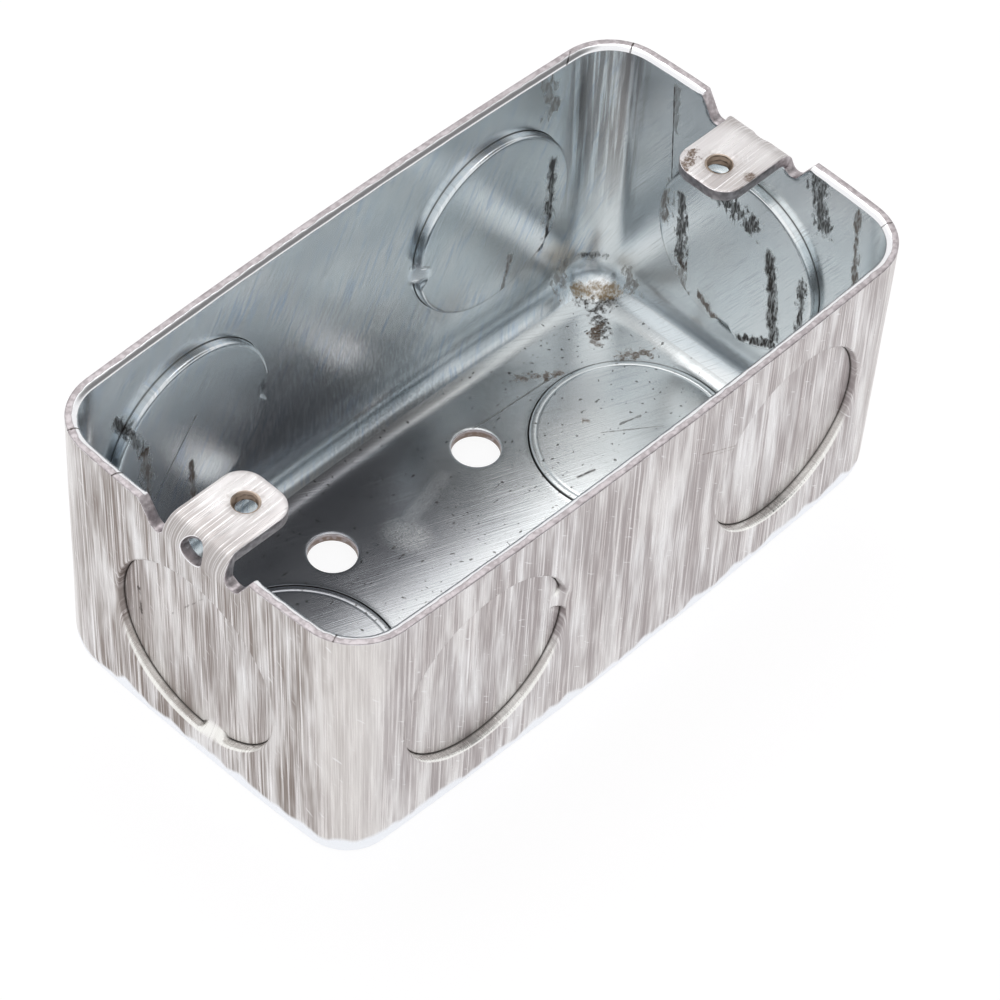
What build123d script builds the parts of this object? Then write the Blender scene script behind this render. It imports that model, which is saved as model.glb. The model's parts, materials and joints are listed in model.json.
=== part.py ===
from build123d import *
import os
from math import atan2, degrees

# One drawn and zinc plated steel device box for surface wiring, open at the top.
# Millimetres, +Z up, origin on the middle of the underside.
# The long walls face -Y and +Y, the end walls face -X and +X.

# The drawn shell, measured outside at the rim
length = 101.6
width = 56.3
height = 45.0
sheet = 1.6
corner_radius = 8.4
side_crown = 1.17
end_crown = 0.97
wall_lean = 0.88
base_radius = 7.0
rim_bevel_in = 0.7
rim_bevel_down = 0.4

# Knockouts in the walls: discs sheared almost through, pushed inwards and held by one tie
knockout_diameter = 27.4
knockout_push = 1.4
side_knockout_below_rim = 6.2
side_knockout_from_corner = 0.53
end_knockout_below_fold_hole = 4.1
edge_bevel = 0.4
tie_width = 3.0
tie_run = 2.2

# Knockouts in the floor: struck back almost flush, with a groove and a bevelled edge
floor_knockout_diameter = 28.1
floor_knockout_push = 0.3
floor_knockouts_from_end = {-1: 20.4, 1: 21.0}
floor_knockouts_off_middle = {-1: 2.1, 1: -0.4}
floor_bevel_in = 0.9
floor_bevel_down = 0.25
shear_gap = 0.3
shear_depth = 0.6

# Screw holes that fix the box to a wall
mounting_hole_diameter = 6.6
mounting_spacing_x = 26.6
mounting_spacing_y = 25.6

# Ears for the device screws, folded inwards from the end walls
device_screw_spacing = 83.34
device_hole_diameter = 3.5
device_hole_chamfer = 0.15
ear_width = 9.8
ear_below_rim = 0.55
ear_tip_beyond_hole = 4.2
ear_tip_radius = 3.3
fold_inner_radius = 1.0

# Punched hole through each fold: its mouth outside and its smaller end inside
fold_hole_width = 3.6
fold_hole_low = 1.25
fold_hole_high = 2.2
fold_hole_high_inset = 1.3

# Notches beside each ear; the two ends of the box are alike when one is turned half round
notch_depth = 3.5
narrow_notch_radius = 1.1
wide_notch_radius = 1.3
wide_notch_shift = 0.8
narrow_notch_mouth = 1.8
wide_notch_mouth = 1.6

# Where each tie lies, as an angle seen from outside the box, from the right, anticlockwise
side_tie_angles = {(-1, -1): 9.0, (-1, 1): 180.0, (1, -1): 183.0, (1, 1): -3.0}
end_tie_angles = {-1: -79.0, 1: -87.0}
floor_tie_angles = {-1: -90.0, 1: -60.0}

lean_angle = degrees(atan2(wall_lean, height))
fold_outer_radius = fold_inner_radius + sheet
ear_top = height - ear_below_rim
fold_start = ear_top - fold_outer_radius
side_knockout_height = height - side_knockout_below_rim - knockout_diameter / 2
side_knockout_x = length / 2 - end_crown - corner_radius - side_knockout_from_corner - knockout_diameter / 2
end_knockout_height = fold_start - fold_hole_low - end_knockout_below_fold_hole - knockout_diameter / 2


def notch_centre(shift, radius):
    """How far from the middle a notch's round bottom lies."""
    return ear_width / 2 + shift + radius


def crowned_outline(long_side, short_side, corner):
    """Rounded rectangle whose sides bulge outwards; the two sizes are taken over the bulges.
    The middle of each end stays flat, because the ears are folded from it."""
    half_long = long_side / 2 - end_crown
    half_short = short_side / 2 - side_crown
    flat = notch_centre(wide_notch_shift, wide_notch_radius) + wide_notch_radius
    with BuildSketch() as outline:
        with BuildLine():
            ThreePointArc((-half_long, -half_short), (0, -short_side / 2), (half_long, -half_short))
            TangentArc((long_side / 2, -flat), (half_long, -half_short), tangent=(0, -1))
            Line((long_side / 2, -flat), (long_side / 2, flat))
            TangentArc((long_side / 2, flat), (half_long, half_short), tangent=(0, 1))
            ThreePointArc((half_long, half_short), (0, short_side / 2), (-half_long, half_short))
            TangentArc((-long_side / 2, flat), (-half_long, half_short), tangent=(0, 1))
            Line((-long_side / 2, flat), (-long_side / 2, -flat))
            TangentArc((-long_side / 2, -flat), (-half_long, -half_short), tangent=(0, -1))
        make_face()
        corners = outline.vertices().group_by(lambda point: round(abs(point.X) + abs(point.Y), 3))[-1]
        fillet(corners, corner)
    return outline.sketch


def drawn_form(inset, floor_height, base_fillet):
    """The leaning, round-bottomed block inside an outline set in from the rim outline."""
    rise = height - floor_height
    narrowing = inset + wall_lean * rise / height
    foot = crowned_outline(length - 2 * narrowing, width - 2 * narrowing, corner_radius - narrowing)
    block = extrude(Plane.XY.offset(floor_height) * foot, amount=rise, taper=-lean_angle)
    quarter = block & Box(length, width, 2 * height, align=(Align.MIN, Align.MIN, Align.CENTER))
    foot_edges = quarter.faces().sort_by(Axis.Z)[0].edges()
    foot_edges = [edge for edge in foot_edges if min(abs(edge.center().X), abs(edge.center().Y)) > 0]
    quarter = fillet(foot_edges, base_fillet)
    half = quarter + mirror(quarter, Plane.YZ)
    return half + mirror(half, Plane.XZ)


def drawn_shell():
    """The deep drawn cup with its inner rim edge bevelled."""
    shell = drawn_form(0, 0, base_radius) - drawn_form(sheet, sheet, base_radius - sheet)
    rim = shell.faces().sort_by(Axis.Z)[-1]
    inner_rim = rim.inner_wires()[0].edges()
    return chamfer(inner_rim, rim_bevel_in, rim_bevel_down, reference=rim)


def wall_plane(normal, origin):
    """Plane on the outer face of a wall: z points out of the box, y up, x to the right from outside."""
    outward = Vector(*normal)
    return Plane(origin=origin, x_dir=Vector(0, 0, 1).cross(outward), z_dir=outward)


def round_edges(solid, plane, radius, depth):
    """The edges of a solid that run round the plane's axis at a radius, nearest a depth below it."""
    found = []
    for edge in solid.edges():
        points = [plane.to_local_coords(edge @ share) for share in (0, 0.25, 0.5, 0.75, 1)]
        on_radius = all(abs(Vector(point.X, point.Y).length - radius) < edge_bevel / 8 for point in points)
        at_depth = all(abs(point.Z + depth) < sheet / 2 for point in points)
        if on_radius and at_depth:
            found.append(edge)
    return found


def pushed_knockout(shell, plane, diameter, push, tie_angle):
    """Shears a disc free of the wall, pushes it in and leaves one tie as a short ramp."""
    radius = diameter / 2
    punch = plane * Pos(0, 0, -sheet) * Cylinder(radius, 4 * sheet)
    disc = shell & punch
    disc = chamfer(round_edges(disc, plane, radius, sheet), edge_bevel)
    shell = shell - punch
    shell = chamfer(round_edges(shell, plane, radius, 0), edge_bevel)
    disc = Pos(*(plane.z_dir * -push)) * disc
    ramp_profile = Polyline(
        (radius + tie_run / 3, -edge_bevel / 2),
        (radius - tie_run, -push - edge_bevel / 4),
        (radius - tie_run, -push - sheet + edge_bevel / 4),
        (radius + tie_run / 3, -sheet + edge_bevel / 4),
        close=True,
    )
    ramp = extrude(make_face(Plane.XZ * ramp_profile), amount=tie_width / 2, both=True)
    return shell + disc + plane * Rot(0, 0, tie_angle) * ramp


def wall_face_x(z):
    """Outer half length at the middle of an end wall, at a height."""
    return length / 2 - wall_lean * (height - z) / height


def wall_face_y(x, z):
    """Outer half width of a long wall at a place along it and a height."""
    half_long = length / 2 - end_crown
    return width / 2 - side_crown * (x / half_long) ** 2 - wall_lean * (height - z) / height


def wall_knockouts(shell):
    """Two knockouts in each long wall and one in each end wall."""
    for facing in (-1, 1):
        for along in (-1, 1):
            x = along * side_knockout_x
            y = facing * wall_face_y(x, side_knockout_height)
            plane = wall_plane((0, facing, 0), (x, y, side_knockout_height))
            angle = side_tie_angles[(facing, along)]
            shell = pushed_knockout(shell, plane, knockout_diameter, knockout_push, angle)
        x = facing * wall_face_x(end_knockout_height)
        plane = wall_plane((facing, 0, 0), (x, 0, end_knockout_height))
        angle = end_tie_angles[facing]
        shell = pushed_knockout(shell, plane, knockout_diameter, knockout_push, angle)
    return shell


def floor_knockouts(shell):
    """Knockouts struck back almost flush: a disc raised a little inside a narrow sheared groove."""
    radius = floor_knockout_diameter / 2
    for end in (-1, 1):
        x = end * (length / 2 - floor_knockouts_from_end[end])
        y = floor_knockouts_off_middle[end]
        punch = Pos(x, y, 0) * Cylinder(radius, 4 * sheet)
        disc = shell & punch
        disc = chamfer(
            disc.faces().sort_by(Axis.Z)[-1].edges(),
            floor_bevel_down,
            floor_bevel_in,
            reference=disc.faces().sort_by(Axis.Z)[-1],
        )
        groove = Pos(x, y, sheet) * (
            Cylinder(radius + shear_gap / 2, 2 * shear_depth) - Cylinder(radius - shear_gap / 2, 2 * shear_depth)
        )
        tie = Pos(x, y, sheet) * Rot(0, 0, floor_tie_angles[end]) * Pos(radius, 0, 0)
        groove = groove - tie * Box(4 * tie_run, tie_width, 4 * sheet)
        shell = shell - punch + Pos(0, 0, floor_knockout_push) * disc - groove
    return shell


def mounting_holes(shell):
    """Four plain holes in the floor between the knockouts."""
    holes = GridLocations(mounting_spacing_x, mounting_spacing_y, 2, 2)
    return shell - holes * Cylinder(mounting_hole_diameter / 2, 4 * sheet)


def notch(facing, hand, shift, radius, mouth):
    """One notch beside an ear: a round bottom whose outer side leans out to the rim."""
    middle = notch_centre(shift, radius)
    inner = middle - radius
    outer = middle + radius + mouth
    with BuildSketch(Plane.YZ) as profile:
        with Locations((hand * middle, height - notch_depth + radius)):
            Circle(radius)
        with Locations((hand * (inner + outer) / 2, height + sheet / 2)):
            Rectangle(outer - inner, sheet)
        make_hull()
    cutter = extrude(profile.sketch, amount=3 * fold_outer_radius, both=True)
    return Pos(facing * length / 2, 0, 0) * cutter


def ear_root_flare(facing):
    """Wedge that narrows the folded sheet from the wide notch's edge to the ear's own width."""
    start = wall_face_x(fold_start)
    stop = start - fold_outer_radius
    hand = facing
    edge = ear_width / 2
    middle = notch_centre(wide_notch_shift, wide_notch_radius)
    corners = (
        (facing * (start + sheet), hand * (edge + wide_notch_shift)),
        (facing * start, hand * (edge + wide_notch_shift)),
        (facing * stop, hand * edge),
        (facing * stop, hand * middle),
        (facing * (start + sheet), hand * middle),
    )
    level = height - notch_depth + wide_notch_radius
    outline = make_face(Plane.XY.offset(level) * Polyline(*corners, close=True))
    return extrude(outline, amount=height, dir=(0, 0, 1))


def ear(shell, facing):
    """The end wall carried on round a fold into a flat, round-cornered tongue."""
    outer_x = wall_face_x(fold_start)
    fold_x = facing * (outer_x - fold_outer_radius)
    wide_side = facing * notch_centre(wide_notch_shift, wide_notch_radius)
    narrow_side = -facing * notch_centre(0, narrow_notch_radius)
    slice_height = sheet / 2
    slab = Pos(facing * outer_x, (wide_side + narrow_side) / 2, fold_start - slice_height / 2)
    strip = shell & slab * Box(4 * sheet, abs(wide_side - narrow_side), slice_height)
    section = strip.faces().sort_by(Axis.Z)[-1]
    turn = Axis((fold_x, 0, fold_start), (0, -facing, 0))
    fold = revolve(section, turn, 90)
    tip_x = device_screw_spacing / 2 - ear_tip_beyond_hole
    span = abs(fold_x) - tip_x
    tongue = Pos(fold_x - facing * span / 2, 0, ear_top - sheet / 2) * Box(span, ear_width, sheet)
    tip = tongue.edges().filter_by(Axis.Z).group_by(Axis.X)[0 if facing > 0 else -1]
    tongue = fillet(tip, ear_tip_radius)
    hole = Pos(facing * device_screw_spacing / 2, 0, ear_top)
    tongue = tongue - hole * Cylinder(device_hole_diameter / 2, 4 * sheet)
    countersink = hole * Pos(0, 0, -device_hole_chamfer) * Cone(
        device_hole_diameter / 2,
        device_hole_diameter / 2 + 2 * device_hole_chamfer,
        2 * device_hole_chamfer,
        align=(Align.CENTER, Align.CENTER, Align.MIN),
    )
    return fold, tongue - countersink


def fold_hole(facing):
    """Punched hole that follows the fold: level at its lower edge and radial at its upper one."""
    outer_x = wall_face_x(fold_start)
    centre = Vector(outer_x - fold_outer_radius, 0, fold_start)
    low_out = Vector(outer_x, 0, fold_start - fold_hole_low)
    high_out = Vector(outer_x - fold_hole_high_inset, 0, fold_start + fold_hole_high)
    low_in = low_out - Vector(sheet, 0, 0)
    high_in = centre + (high_out - centre).normalized() * fold_inner_radius
    low_far = low_out * 2 - low_in
    high_far = high_out * 2 - high_in
    rings = []
    for low, high in ((low_far, high_far), (low_in, high_in)):
        middle = (low + high) * 0.5
        rise = (high - low).normalized()
        plane = Plane(
            origin=(facing * middle.X, 0, middle.Z),
            x_dir=(facing * rise.X, 0, rise.Z),
            z_dir=(facing * rise.Z, 0, -rise.X),
        )
        rings.append(plane * Ellipse((high - low).length / 2, fold_hole_width / 2))
    return loft(rings)


def ears(shell):
    """Cuts the end walls down to each fold, adds the folded ears and notches both sides."""
    for facing in (-1, 1):
        fold, tongue = ear(shell, facing)
        wide_edge = facing * (notch_centre(wide_notch_shift, wide_notch_radius) + wide_notch_radius / 2)
        narrow_edge = -facing * (notch_centre(0, narrow_notch_radius) + narrow_notch_radius / 2)
        above = Pos(facing * length / 2, (wide_edge + narrow_edge) / 2, fold_start + height / 2)
        shell = shell - above * Box(4 * fold_outer_radius, abs(wide_edge - narrow_edge), height)
        shell = shell + fold
        shell = shell - notch(facing, facing, wide_notch_shift, wide_notch_radius, wide_notch_mouth)
        shell = shell - notch(facing, -facing, 0, narrow_notch_radius, narrow_notch_mouth)
        shell = shell - ear_root_flare(facing)
        shell = shell + tongue - fold_hole(facing)
    return shell


drawn_box = ears(drawn_shell())
drawn_box = wall_knockouts(drawn_box)
drawn_box = floor_knockouts(drawn_box)
drawn_box = mounting_holes(drawn_box)

os.makedirs("parts", exist_ok=True)
export_step(drawn_box, "parts/drawn_box.step")
size = drawn_box.bounding_box().size
print(f"drawn_box: {size.X:.2f} x {size.Y:.2f} x {size.Z:.2f} mm, volume {drawn_box.volume:.0f} mm3")
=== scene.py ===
# %% [markdown]
# # A drawn steel switch box
# One sheet of zinc plated steel, 1.6 mm thick, is pressed into a deep cup in a set of dies.
# The dies drag long scratches down its outside. Knockouts are then sheared almost through the
# walls, screw holes are punched in the floor, and two ears are folded in at the ends.
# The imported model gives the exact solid. This script dresses it: it builds the same sheet again
# as one much finer mesh, with rolled edges, torn ties and screw threads, and then finishes it.

import json
import math

import bmesh
import bpy
import numpy as np
from mathutils import Matrix, Vector, noise
from mathutils.geometry import delaunay_2d_cdt


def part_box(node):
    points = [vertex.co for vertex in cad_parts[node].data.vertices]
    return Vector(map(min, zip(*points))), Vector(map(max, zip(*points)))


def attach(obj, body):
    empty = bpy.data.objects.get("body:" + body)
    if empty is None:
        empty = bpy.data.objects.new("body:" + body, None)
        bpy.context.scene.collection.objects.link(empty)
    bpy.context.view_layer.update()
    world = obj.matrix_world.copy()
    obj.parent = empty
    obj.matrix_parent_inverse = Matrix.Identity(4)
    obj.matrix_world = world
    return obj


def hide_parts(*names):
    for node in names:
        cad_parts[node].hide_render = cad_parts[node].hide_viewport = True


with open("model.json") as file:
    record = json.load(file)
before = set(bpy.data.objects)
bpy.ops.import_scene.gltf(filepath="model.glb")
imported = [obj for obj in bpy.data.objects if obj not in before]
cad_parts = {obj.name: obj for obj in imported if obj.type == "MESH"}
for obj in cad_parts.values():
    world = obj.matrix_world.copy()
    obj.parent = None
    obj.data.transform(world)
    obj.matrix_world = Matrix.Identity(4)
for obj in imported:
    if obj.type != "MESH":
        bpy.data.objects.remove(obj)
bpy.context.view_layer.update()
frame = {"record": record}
MM = 0.001

# %% [markdown]
# ## The camera
# A long lens looks down into the box from beyond its near corner. Its angle, distance and roll
# were found by fitting the box's corners and knockouts to the photograph, so the script only
# states them. The picture is square, which is why the focal length is given in pixels of it.

# %% Place the camera
PICTURE_PIXELS = 1000
FOCAL_PIXELS = 4747.6
CAMERA_AZIMUTH = math.radians(-49.074)
CAMERA_ELEVATION = math.radians(48.656)
CAMERA_ROLL = math.radians(4.33)
CAMERA_TARGET = Vector((-5.872, -8.687, 24.0)) * MM
CAMERA_DISTANCE = 592.2 * MM


def place_camera():
    """Points the camera at its target from its azimuth and elevation, then rolls it."""
    flat = math.cos(CAMERA_ELEVATION)
    sideways = math.sin(CAMERA_AZIMUTH) * flat
    forwards = -math.cos(CAMERA_AZIMUTH) * flat
    back = Vector((sideways, forwards, math.sin(CAMERA_ELEVATION)))
    level_right = Vector((0, 0, 1)).cross(back).normalized()
    level_up = back.cross(level_right)
    right = level_right * math.cos(CAMERA_ROLL) + level_up * math.sin(CAMERA_ROLL)
    up = level_up * math.cos(CAMERA_ROLL) - level_right * math.sin(CAMERA_ROLL)
    data = bpy.data.cameras.new("photo_camera")
    data.lens = data.sensor_width * FOCAL_PIXELS / PICTURE_PIXELS
    data.clip_start = 0.05
    data.clip_end = 20
    camera = bpy.data.objects.new("photo_camera", data)
    turned = Matrix((right, up, back)).transposed().to_4x4()
    camera.matrix_world = Matrix.Translation(CAMERA_TARGET + back * CAMERA_DISTANCE) @ turned
    bpy.context.scene.collection.objects.link(camera)
    bpy.context.scene.camera = camera
    return camera


camera = place_camera()
print("camera lens, mm:", round(camera.data.lens, 2))

# %% [markdown]
# ## Driving sizes
# The box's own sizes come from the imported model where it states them: its overall box and its
# screw mounts. The rest are the press tool's sizes: radii, the lean of the walls, the knockouts.
# Everything from here on is in millimetres, and becomes metres only when the mesh is made.

# %% Sizes of the box
box_low, box_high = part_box("drawn_box")
length, width, height = (value / MM for value in box_high - box_low)
sheet = 1.6
corner_radius = 8.4
side_crown = 1.17
end_crown = 0.97
wall_lean = 0.88
base_radius = 7.0
mounts = {mount["name"]: mount["dims"] for mount in frame["record"]["mounts"]}
print("mounts of the packed model:", sorted(mounts))

# %% [markdown]
# ## The outline
# Seen from above, the rim is a rounded rectangle whose sides bulge a little: the long sides are
# shallow arcs, and the ends are flat in the middle, where the ears fold, and then curve back.
# Each corner is a round that touches two of those arcs. The outline is sampled finely once, with
# its outward direction, and every later piece asks it for a point at a distance around.

# %% Sample the rim outline
OUTLINE_STEP = 0.05
notch_reach = 8.3


def arc_points(centre, radius, start, stop):
    """Points along an arc, with the direction out of its centre at each."""
    count = max(2, int(abs(stop - start) * radius / OUTLINE_STEP))
    angles = np.linspace(start, stop, count)
    out = np.stack((np.cos(angles), np.sin(angles)), axis=1)
    return np.asarray(centre) + radius * out, out


def quarter_outline():
    """The rim from the middle of the +Y wall to the middle of the +X end, clockwise from above."""
    half_long = length / 2 - end_crown
    half_short = width / 2 - side_crown
    side_radius = (half_long**2 + side_crown**2) / (2 * side_crown)
    side_centre = np.array((0, width / 2 - side_radius))
    rise = half_short - notch_reach
    end_radius = (rise**2 + end_crown**2) / (2 * end_crown)
    end_centre = np.array((length / 2 - end_radius, notch_reach))
    near, far = side_radius - corner_radius, end_radius - corner_radius
    between = end_centre - side_centre
    gap = np.linalg.norm(between)
    along = (near**2 - far**2 + gap**2) / (2 * gap)
    aside = math.sqrt(near**2 - along**2)
    unit = between / gap
    corner = side_centre + along * unit + aside * np.array((unit[1], -unit[0]))
    side_end = math.atan2(*(corner - side_centre)[::-1])
    end_start = math.atan2(*(corner - end_centre)[::-1])
    pieces = [
        arc_points(side_centre, side_radius, math.pi / 2, side_end),
        arc_points(corner, corner_radius, side_end, end_start),
        arc_points(end_centre, end_radius, end_start, 0),
    ]
    count = int(notch_reach / OUTLINE_STEP)
    flat = np.stack((np.full(count, length / 2), np.linspace(notch_reach, 0, count)), axis=1)
    pieces.append((flat, np.tile((1.0, 0.0), (count, 1))))
    points, out = zip(*pieces)
    return np.concatenate(points), np.concatenate(out)


def full_outline():
    """The whole rim: its points, outward directions and distance around, from the middle of +Y."""
    points, out = quarter_outline()
    for flip in (np.array((1, -1)), np.array((-1, 1))):
        points = np.concatenate((points, points[::-1] * flip))
        out = np.concatenate((out, out[::-1] * flip))
    steps = np.linalg.norm(np.diff(points, axis=0), axis=1)
    keep = np.concatenate(([True], steps > 1e-6))
    points, out = points[keep], out[keep]
    around = np.concatenate(([0], np.cumsum(np.linalg.norm(np.diff(points, axis=0), axis=1))))
    return points, out, around


rim_points, rim_out, rim_around = full_outline()
girth = rim_around[-1]
print("girth of the rim, mm:", round(girth, 2))


# %% [markdown]
# ## A chart of the walls
# A drawn wall is easiest to build flat: how far around the rim, and how far down the profile.
# One function carries a point of that flat chart to the real wall, outside or inside. It knows
# the lean, the round at the base and the fold of the ears, so holes, notches, rings and ears
# can all be laid out in the flat first and bent afterwards, as the press does it.

# %% Carry the chart to the wall
lean = math.atan2(wall_lean, height)
fillet_top = base_radius * (1 - math.sin(lean))
straight_run = (height - fillet_top) / math.cos(lean)
fillet_centre = (height - fillet_top) * math.tan(lean) + base_radius * math.cos(lean)
seam_tilt = math.radians(30)
chart_depth = straight_run + base_radius * (math.pi / 2 - lean - seam_tilt)

ear_below_rim = 0.55
fold_inner_radius = 1.0
fold_outer_radius = fold_inner_radius + sheet
fold_start = height - ear_below_rim - fold_outer_radius
fold_run = (fold_inner_radius + sheet / 2) * math.pi / 2
fold_depth = (height - fold_start) / math.cos(lean)
fold_centre_x = length / 2 - wall_lean * (height - fold_start) / height - fold_outer_radius
ear_reach = 6.6
end_around = {1: girth / 4, -1: 3 * girth / 4}


def outline_at(around):
    """Point and outward direction at a distance around the rim."""
    around = np.mod(around, girth)
    point = np.stack([np.interp(around, rim_around, rim_points[:, axis]) for axis in (0, 1)], axis=-1)
    out = np.stack([np.interp(around, rim_around, rim_out[:, axis]) for axis in (0, 1)], axis=-1)
    return point, out / np.linalg.norm(out, axis=-1, keepdims=True)


def wall_surface(around, down):
    """Outer point and outward normal of the leaning wall and its base round."""
    point, out = outline_at(around)
    turn = lean + np.clip((down - straight_run) / base_radius, 0, math.pi / 2 - lean)
    straight = np.minimum(down, straight_run)
    rounded = down > straight_run
    inset = np.where(rounded, fillet_centre - base_radius * np.cos(turn), straight * math.sin(lean))
    level = np.where(rounded, base_radius * (1 - np.sin(turn)), height - straight * math.cos(lean))
    place = np.column_stack((point - out * inset[:, None], level))
    normal = np.column_stack((out * np.cos(turn)[:, None], -np.sin(turn)))
    return place, normal


def ear_surface(facing, across, beyond):
    """Outer point and normal of an ear, from its fold to its tip."""
    turn = np.clip(beyond / fold_run, 0, 1) * math.pi / 2
    flat = np.maximum(beyond - fold_run, 0)
    x = facing * (fold_centre_x + fold_outer_radius * np.cos(turn) - flat)
    z = fold_start + fold_outer_radius * np.sin(turn)
    place = np.column_stack((x, across, z))
    normal = np.column_stack((facing * np.cos(turn), np.zeros_like(turn), np.sin(turn)))
    return place, normal


def on_sheet(around, down):
    """Outer point and normal anywhere on the chart, ears included."""
    around = np.mod(np.asarray(around, float), girth)
    down = np.asarray(down, float)
    place, normal = wall_surface(around, down)
    for facing, middle in end_around.items():
        across = facing * (middle - around)
        on_ear = (np.abs(across) < ear_reach) & (down < fold_depth)
        if on_ear.any():
            ear_place, ear_normal = ear_surface(facing, across[on_ear], fold_depth - down[on_ear])
            place[on_ear] = ear_place
            normal[on_ear] = ear_normal
    return place, normal


print("the chart is", round(girth, 1), "mm round and", round(chart_depth, 1), "mm deep")

# %% [markdown]
# ## The mesh kit
# The sheet has two faces and a cut edge all the way round every opening. Every point also
# carries two marks that the finish reads later: how far it is a torn edge, and how far it is the
# bottom of a sheared groove.

# %% Collect points, strips and fills
FINISHES = ("drawn_outside", "plated_inside", "plated_floor", "underside", "cut_edge")


class SheetMesh:
    """Points, chart places, marks and faces of the sheet, in millimetres."""

    def __init__(self):
        self.places = []
        self.charts = []
        self.torn = []
        self.groove = []
        self.count = 0
        self.faces = []
        self.finish = []

    def add(self, place, chart, torn=0.0, groove=0.0):
        """Adds points and gives their numbers."""
        size = len(place)
        self.places.append(np.asarray(place, float))
        self.charts.append(np.asarray(chart, float))
        self.torn.append(np.broadcast_to(torn, (size,)).astype(float))
        self.groove.append(np.broadcast_to(groove, (size,)).astype(float))
        numbers = np.arange(self.count, self.count + size)
        self.count += size
        return numbers

    def strip(self, row, other, finish, closed=True):
        """Joins two rows of equally many points with four-sided faces."""
        ahead, other_ahead = np.roll(row, -1), np.roll(other, -1)
        quads = np.stack((row, ahead, other_ahead, other), axis=1)
        quads = quads if closed else quads[:-1]
        self.faces.extend(quads.tolist())
        self.finish.extend([FINISHES.index(finish)] * len(quads))

    def fill(self, numbers, flat, loops, rings, finish):
        """Fills the region of the flat points inside the loops, and leaves the rings open."""
        edges = []
        for loop in loops:
            edges.extend(zip(loop, np.roll(loop, -1)))
        flat_points = [Vector(point) for point in flat.tolist()]
        made = delaunay_2d_cdt(flat_points, [(int(a), int(b)) for a, b in edges], [], 1, 1e-6, True)
        origin = np.array([sources[0] for sources in made[3]])
        triangles = origin[np.array(made[2])]
        ring_of = np.full(len(flat), -1)
        for ring_number, ring in enumerate(rings):
            ring_of[np.asarray(ring)] = ring_number
        corner_rings = ring_of[triangles]
        in_ring = (corner_rings[:, 0] >= 0) & (corner_rings == corner_rings[:, :1]).all(axis=1)
        border = flat[np.asarray(loops[0])]
        kept = triangles[~in_ring & inside_line(flat[triangles].mean(axis=1), border)]
        self.faces.extend(numbers[kept].tolist())
        self.finish.extend([FINISHES.index(finish)] * len(kept))
        return len(kept)


def inside_line(points, line):
    """Whether each point lies inside a closed line, by counting crossings."""
    inside = np.zeros(len(points), bool)
    for (ax, ay), (bx, by) in zip(line, np.roll(line, -1, axis=0)):
        if ay == by:
            continue
        crossed = (points[:, 1] < ay) != (points[:, 1] < by)
        inside ^= crossed & (points[:, 0] < ax + (points[:, 1] - ay) * (bx - ax) / (by - ay))
    return inside


def thinned(points, gap):
    """Leaves out each point that lies closer than a gap to one kept before it."""
    kept, cells = [], {}
    for x, y in points.tolist():
        cell = (math.floor(x / gap), math.floor(y / gap))
        near = [
            other
            for i in (-1, 0, 1)
            for j in (-1, 0, 1)
            for other in cells.get((cell[0] + i, cell[1] + j), ())
        ]
        if all((x - a) ** 2 + (y - b) ** 2 >= gap * gap for a, b in near):
            kept.append((x, y))
            cells.setdefault(cell, []).append((x, y))
    return np.array(kept)


def clear_of(points, others, gap):
    """The points that lie at least a gap from every one of the others."""
    keep = np.ones(len(points), bool)
    for start in range(0, len(points), 2000):
        block = points[start : start + 2000]
        apart = np.linalg.norm(block[:, None, :] - others[None, :, :], axis=2)
        keep[start : start + 2000] = apart.min(axis=1) >= gap
    return points[keep]


sheet_mesh = SheetMesh()
print("finishes of the sheet:", ", ".join(FINISHES))

# %% [markdown]
# ## Waves in the sheet
# Drawn sheet is never flat: its reflections swim. A slow noise moves both faces of the wall
# together by a few hundredths of a millimetre, which is enough for metal, because a mirror
# doubles every tilt. It fades out at the rim, so that the rim keeps its true outline.

# %% Move the sheet by a slow noise
WAVE_HEIGHT = 0.055
WAVE_LENGTH = 15.0
RIPPLE_SHARE = 0.4
RIPPLES_PER_WAVE = 2.3
CALM_BELOW_RIM = 6.0


def wave(place):
    """Gentle unevenness along the normal, by place on the box."""
    moved = np.empty(len(place))
    for number, point in enumerate((place / WAVE_LENGTH).tolist()):
        ripple = noise.noise(Vector(point) * RIPPLES_PER_WAVE)
        moved[number] = noise.noise(Vector(point)) + RIPPLE_SHARE * ripple
    return moved * WAVE_HEIGHT * np.clip((height - place[:, 2]) / CALM_BELOW_RIM, 0, 1)


def sheet_point(around, down, depth):
    """A point of the chart, some way into the box from the outer face."""
    place, normal = on_sheet(around, down)
    return place + normal * (wave(place) - depth)[:, None]


print("waves, mm:", WAVE_HEIGHT, "high and", WAVE_LENGTH, "long")

# %% [markdown]
# ## The knockouts in the walls
# A knockout is a disc that the tool shears almost out and leaves hanging on one tie. Outside,
# the hole's edge is rolled over and the disc sits back in it. Inside, the disc stands proud with
# a rolled edge, and a fine crack runs round it. Each one is a stack of rings, so that a single
# table of steps gives its section, and the tie is the same rings spread out into a smooth ramp.

# %% Work out the rings of a knockout
knockout_diameter = 27.4
knockout_push = 1.4
side_knockout_height = 25.1
side_knockout_x = 27.2
end_knockout_height = 22.8
KNOCKOUT_SPREAD = 1.6
KNOCKOUT_FILL = 3.0
DISC_MARGIN = 0.5
DISC_STEP = 1.5
TIE_HALF_ANGLE = math.radians(7)
TIE_EDGE = math.radians(3.5)
NEAR_TIE_DEGREES = 13
NEAR_TIE_POINTS = 27
AWAY_POINTS = 112
RAMP_START = 0.12
RAMP_RUN = 0.7

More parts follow.
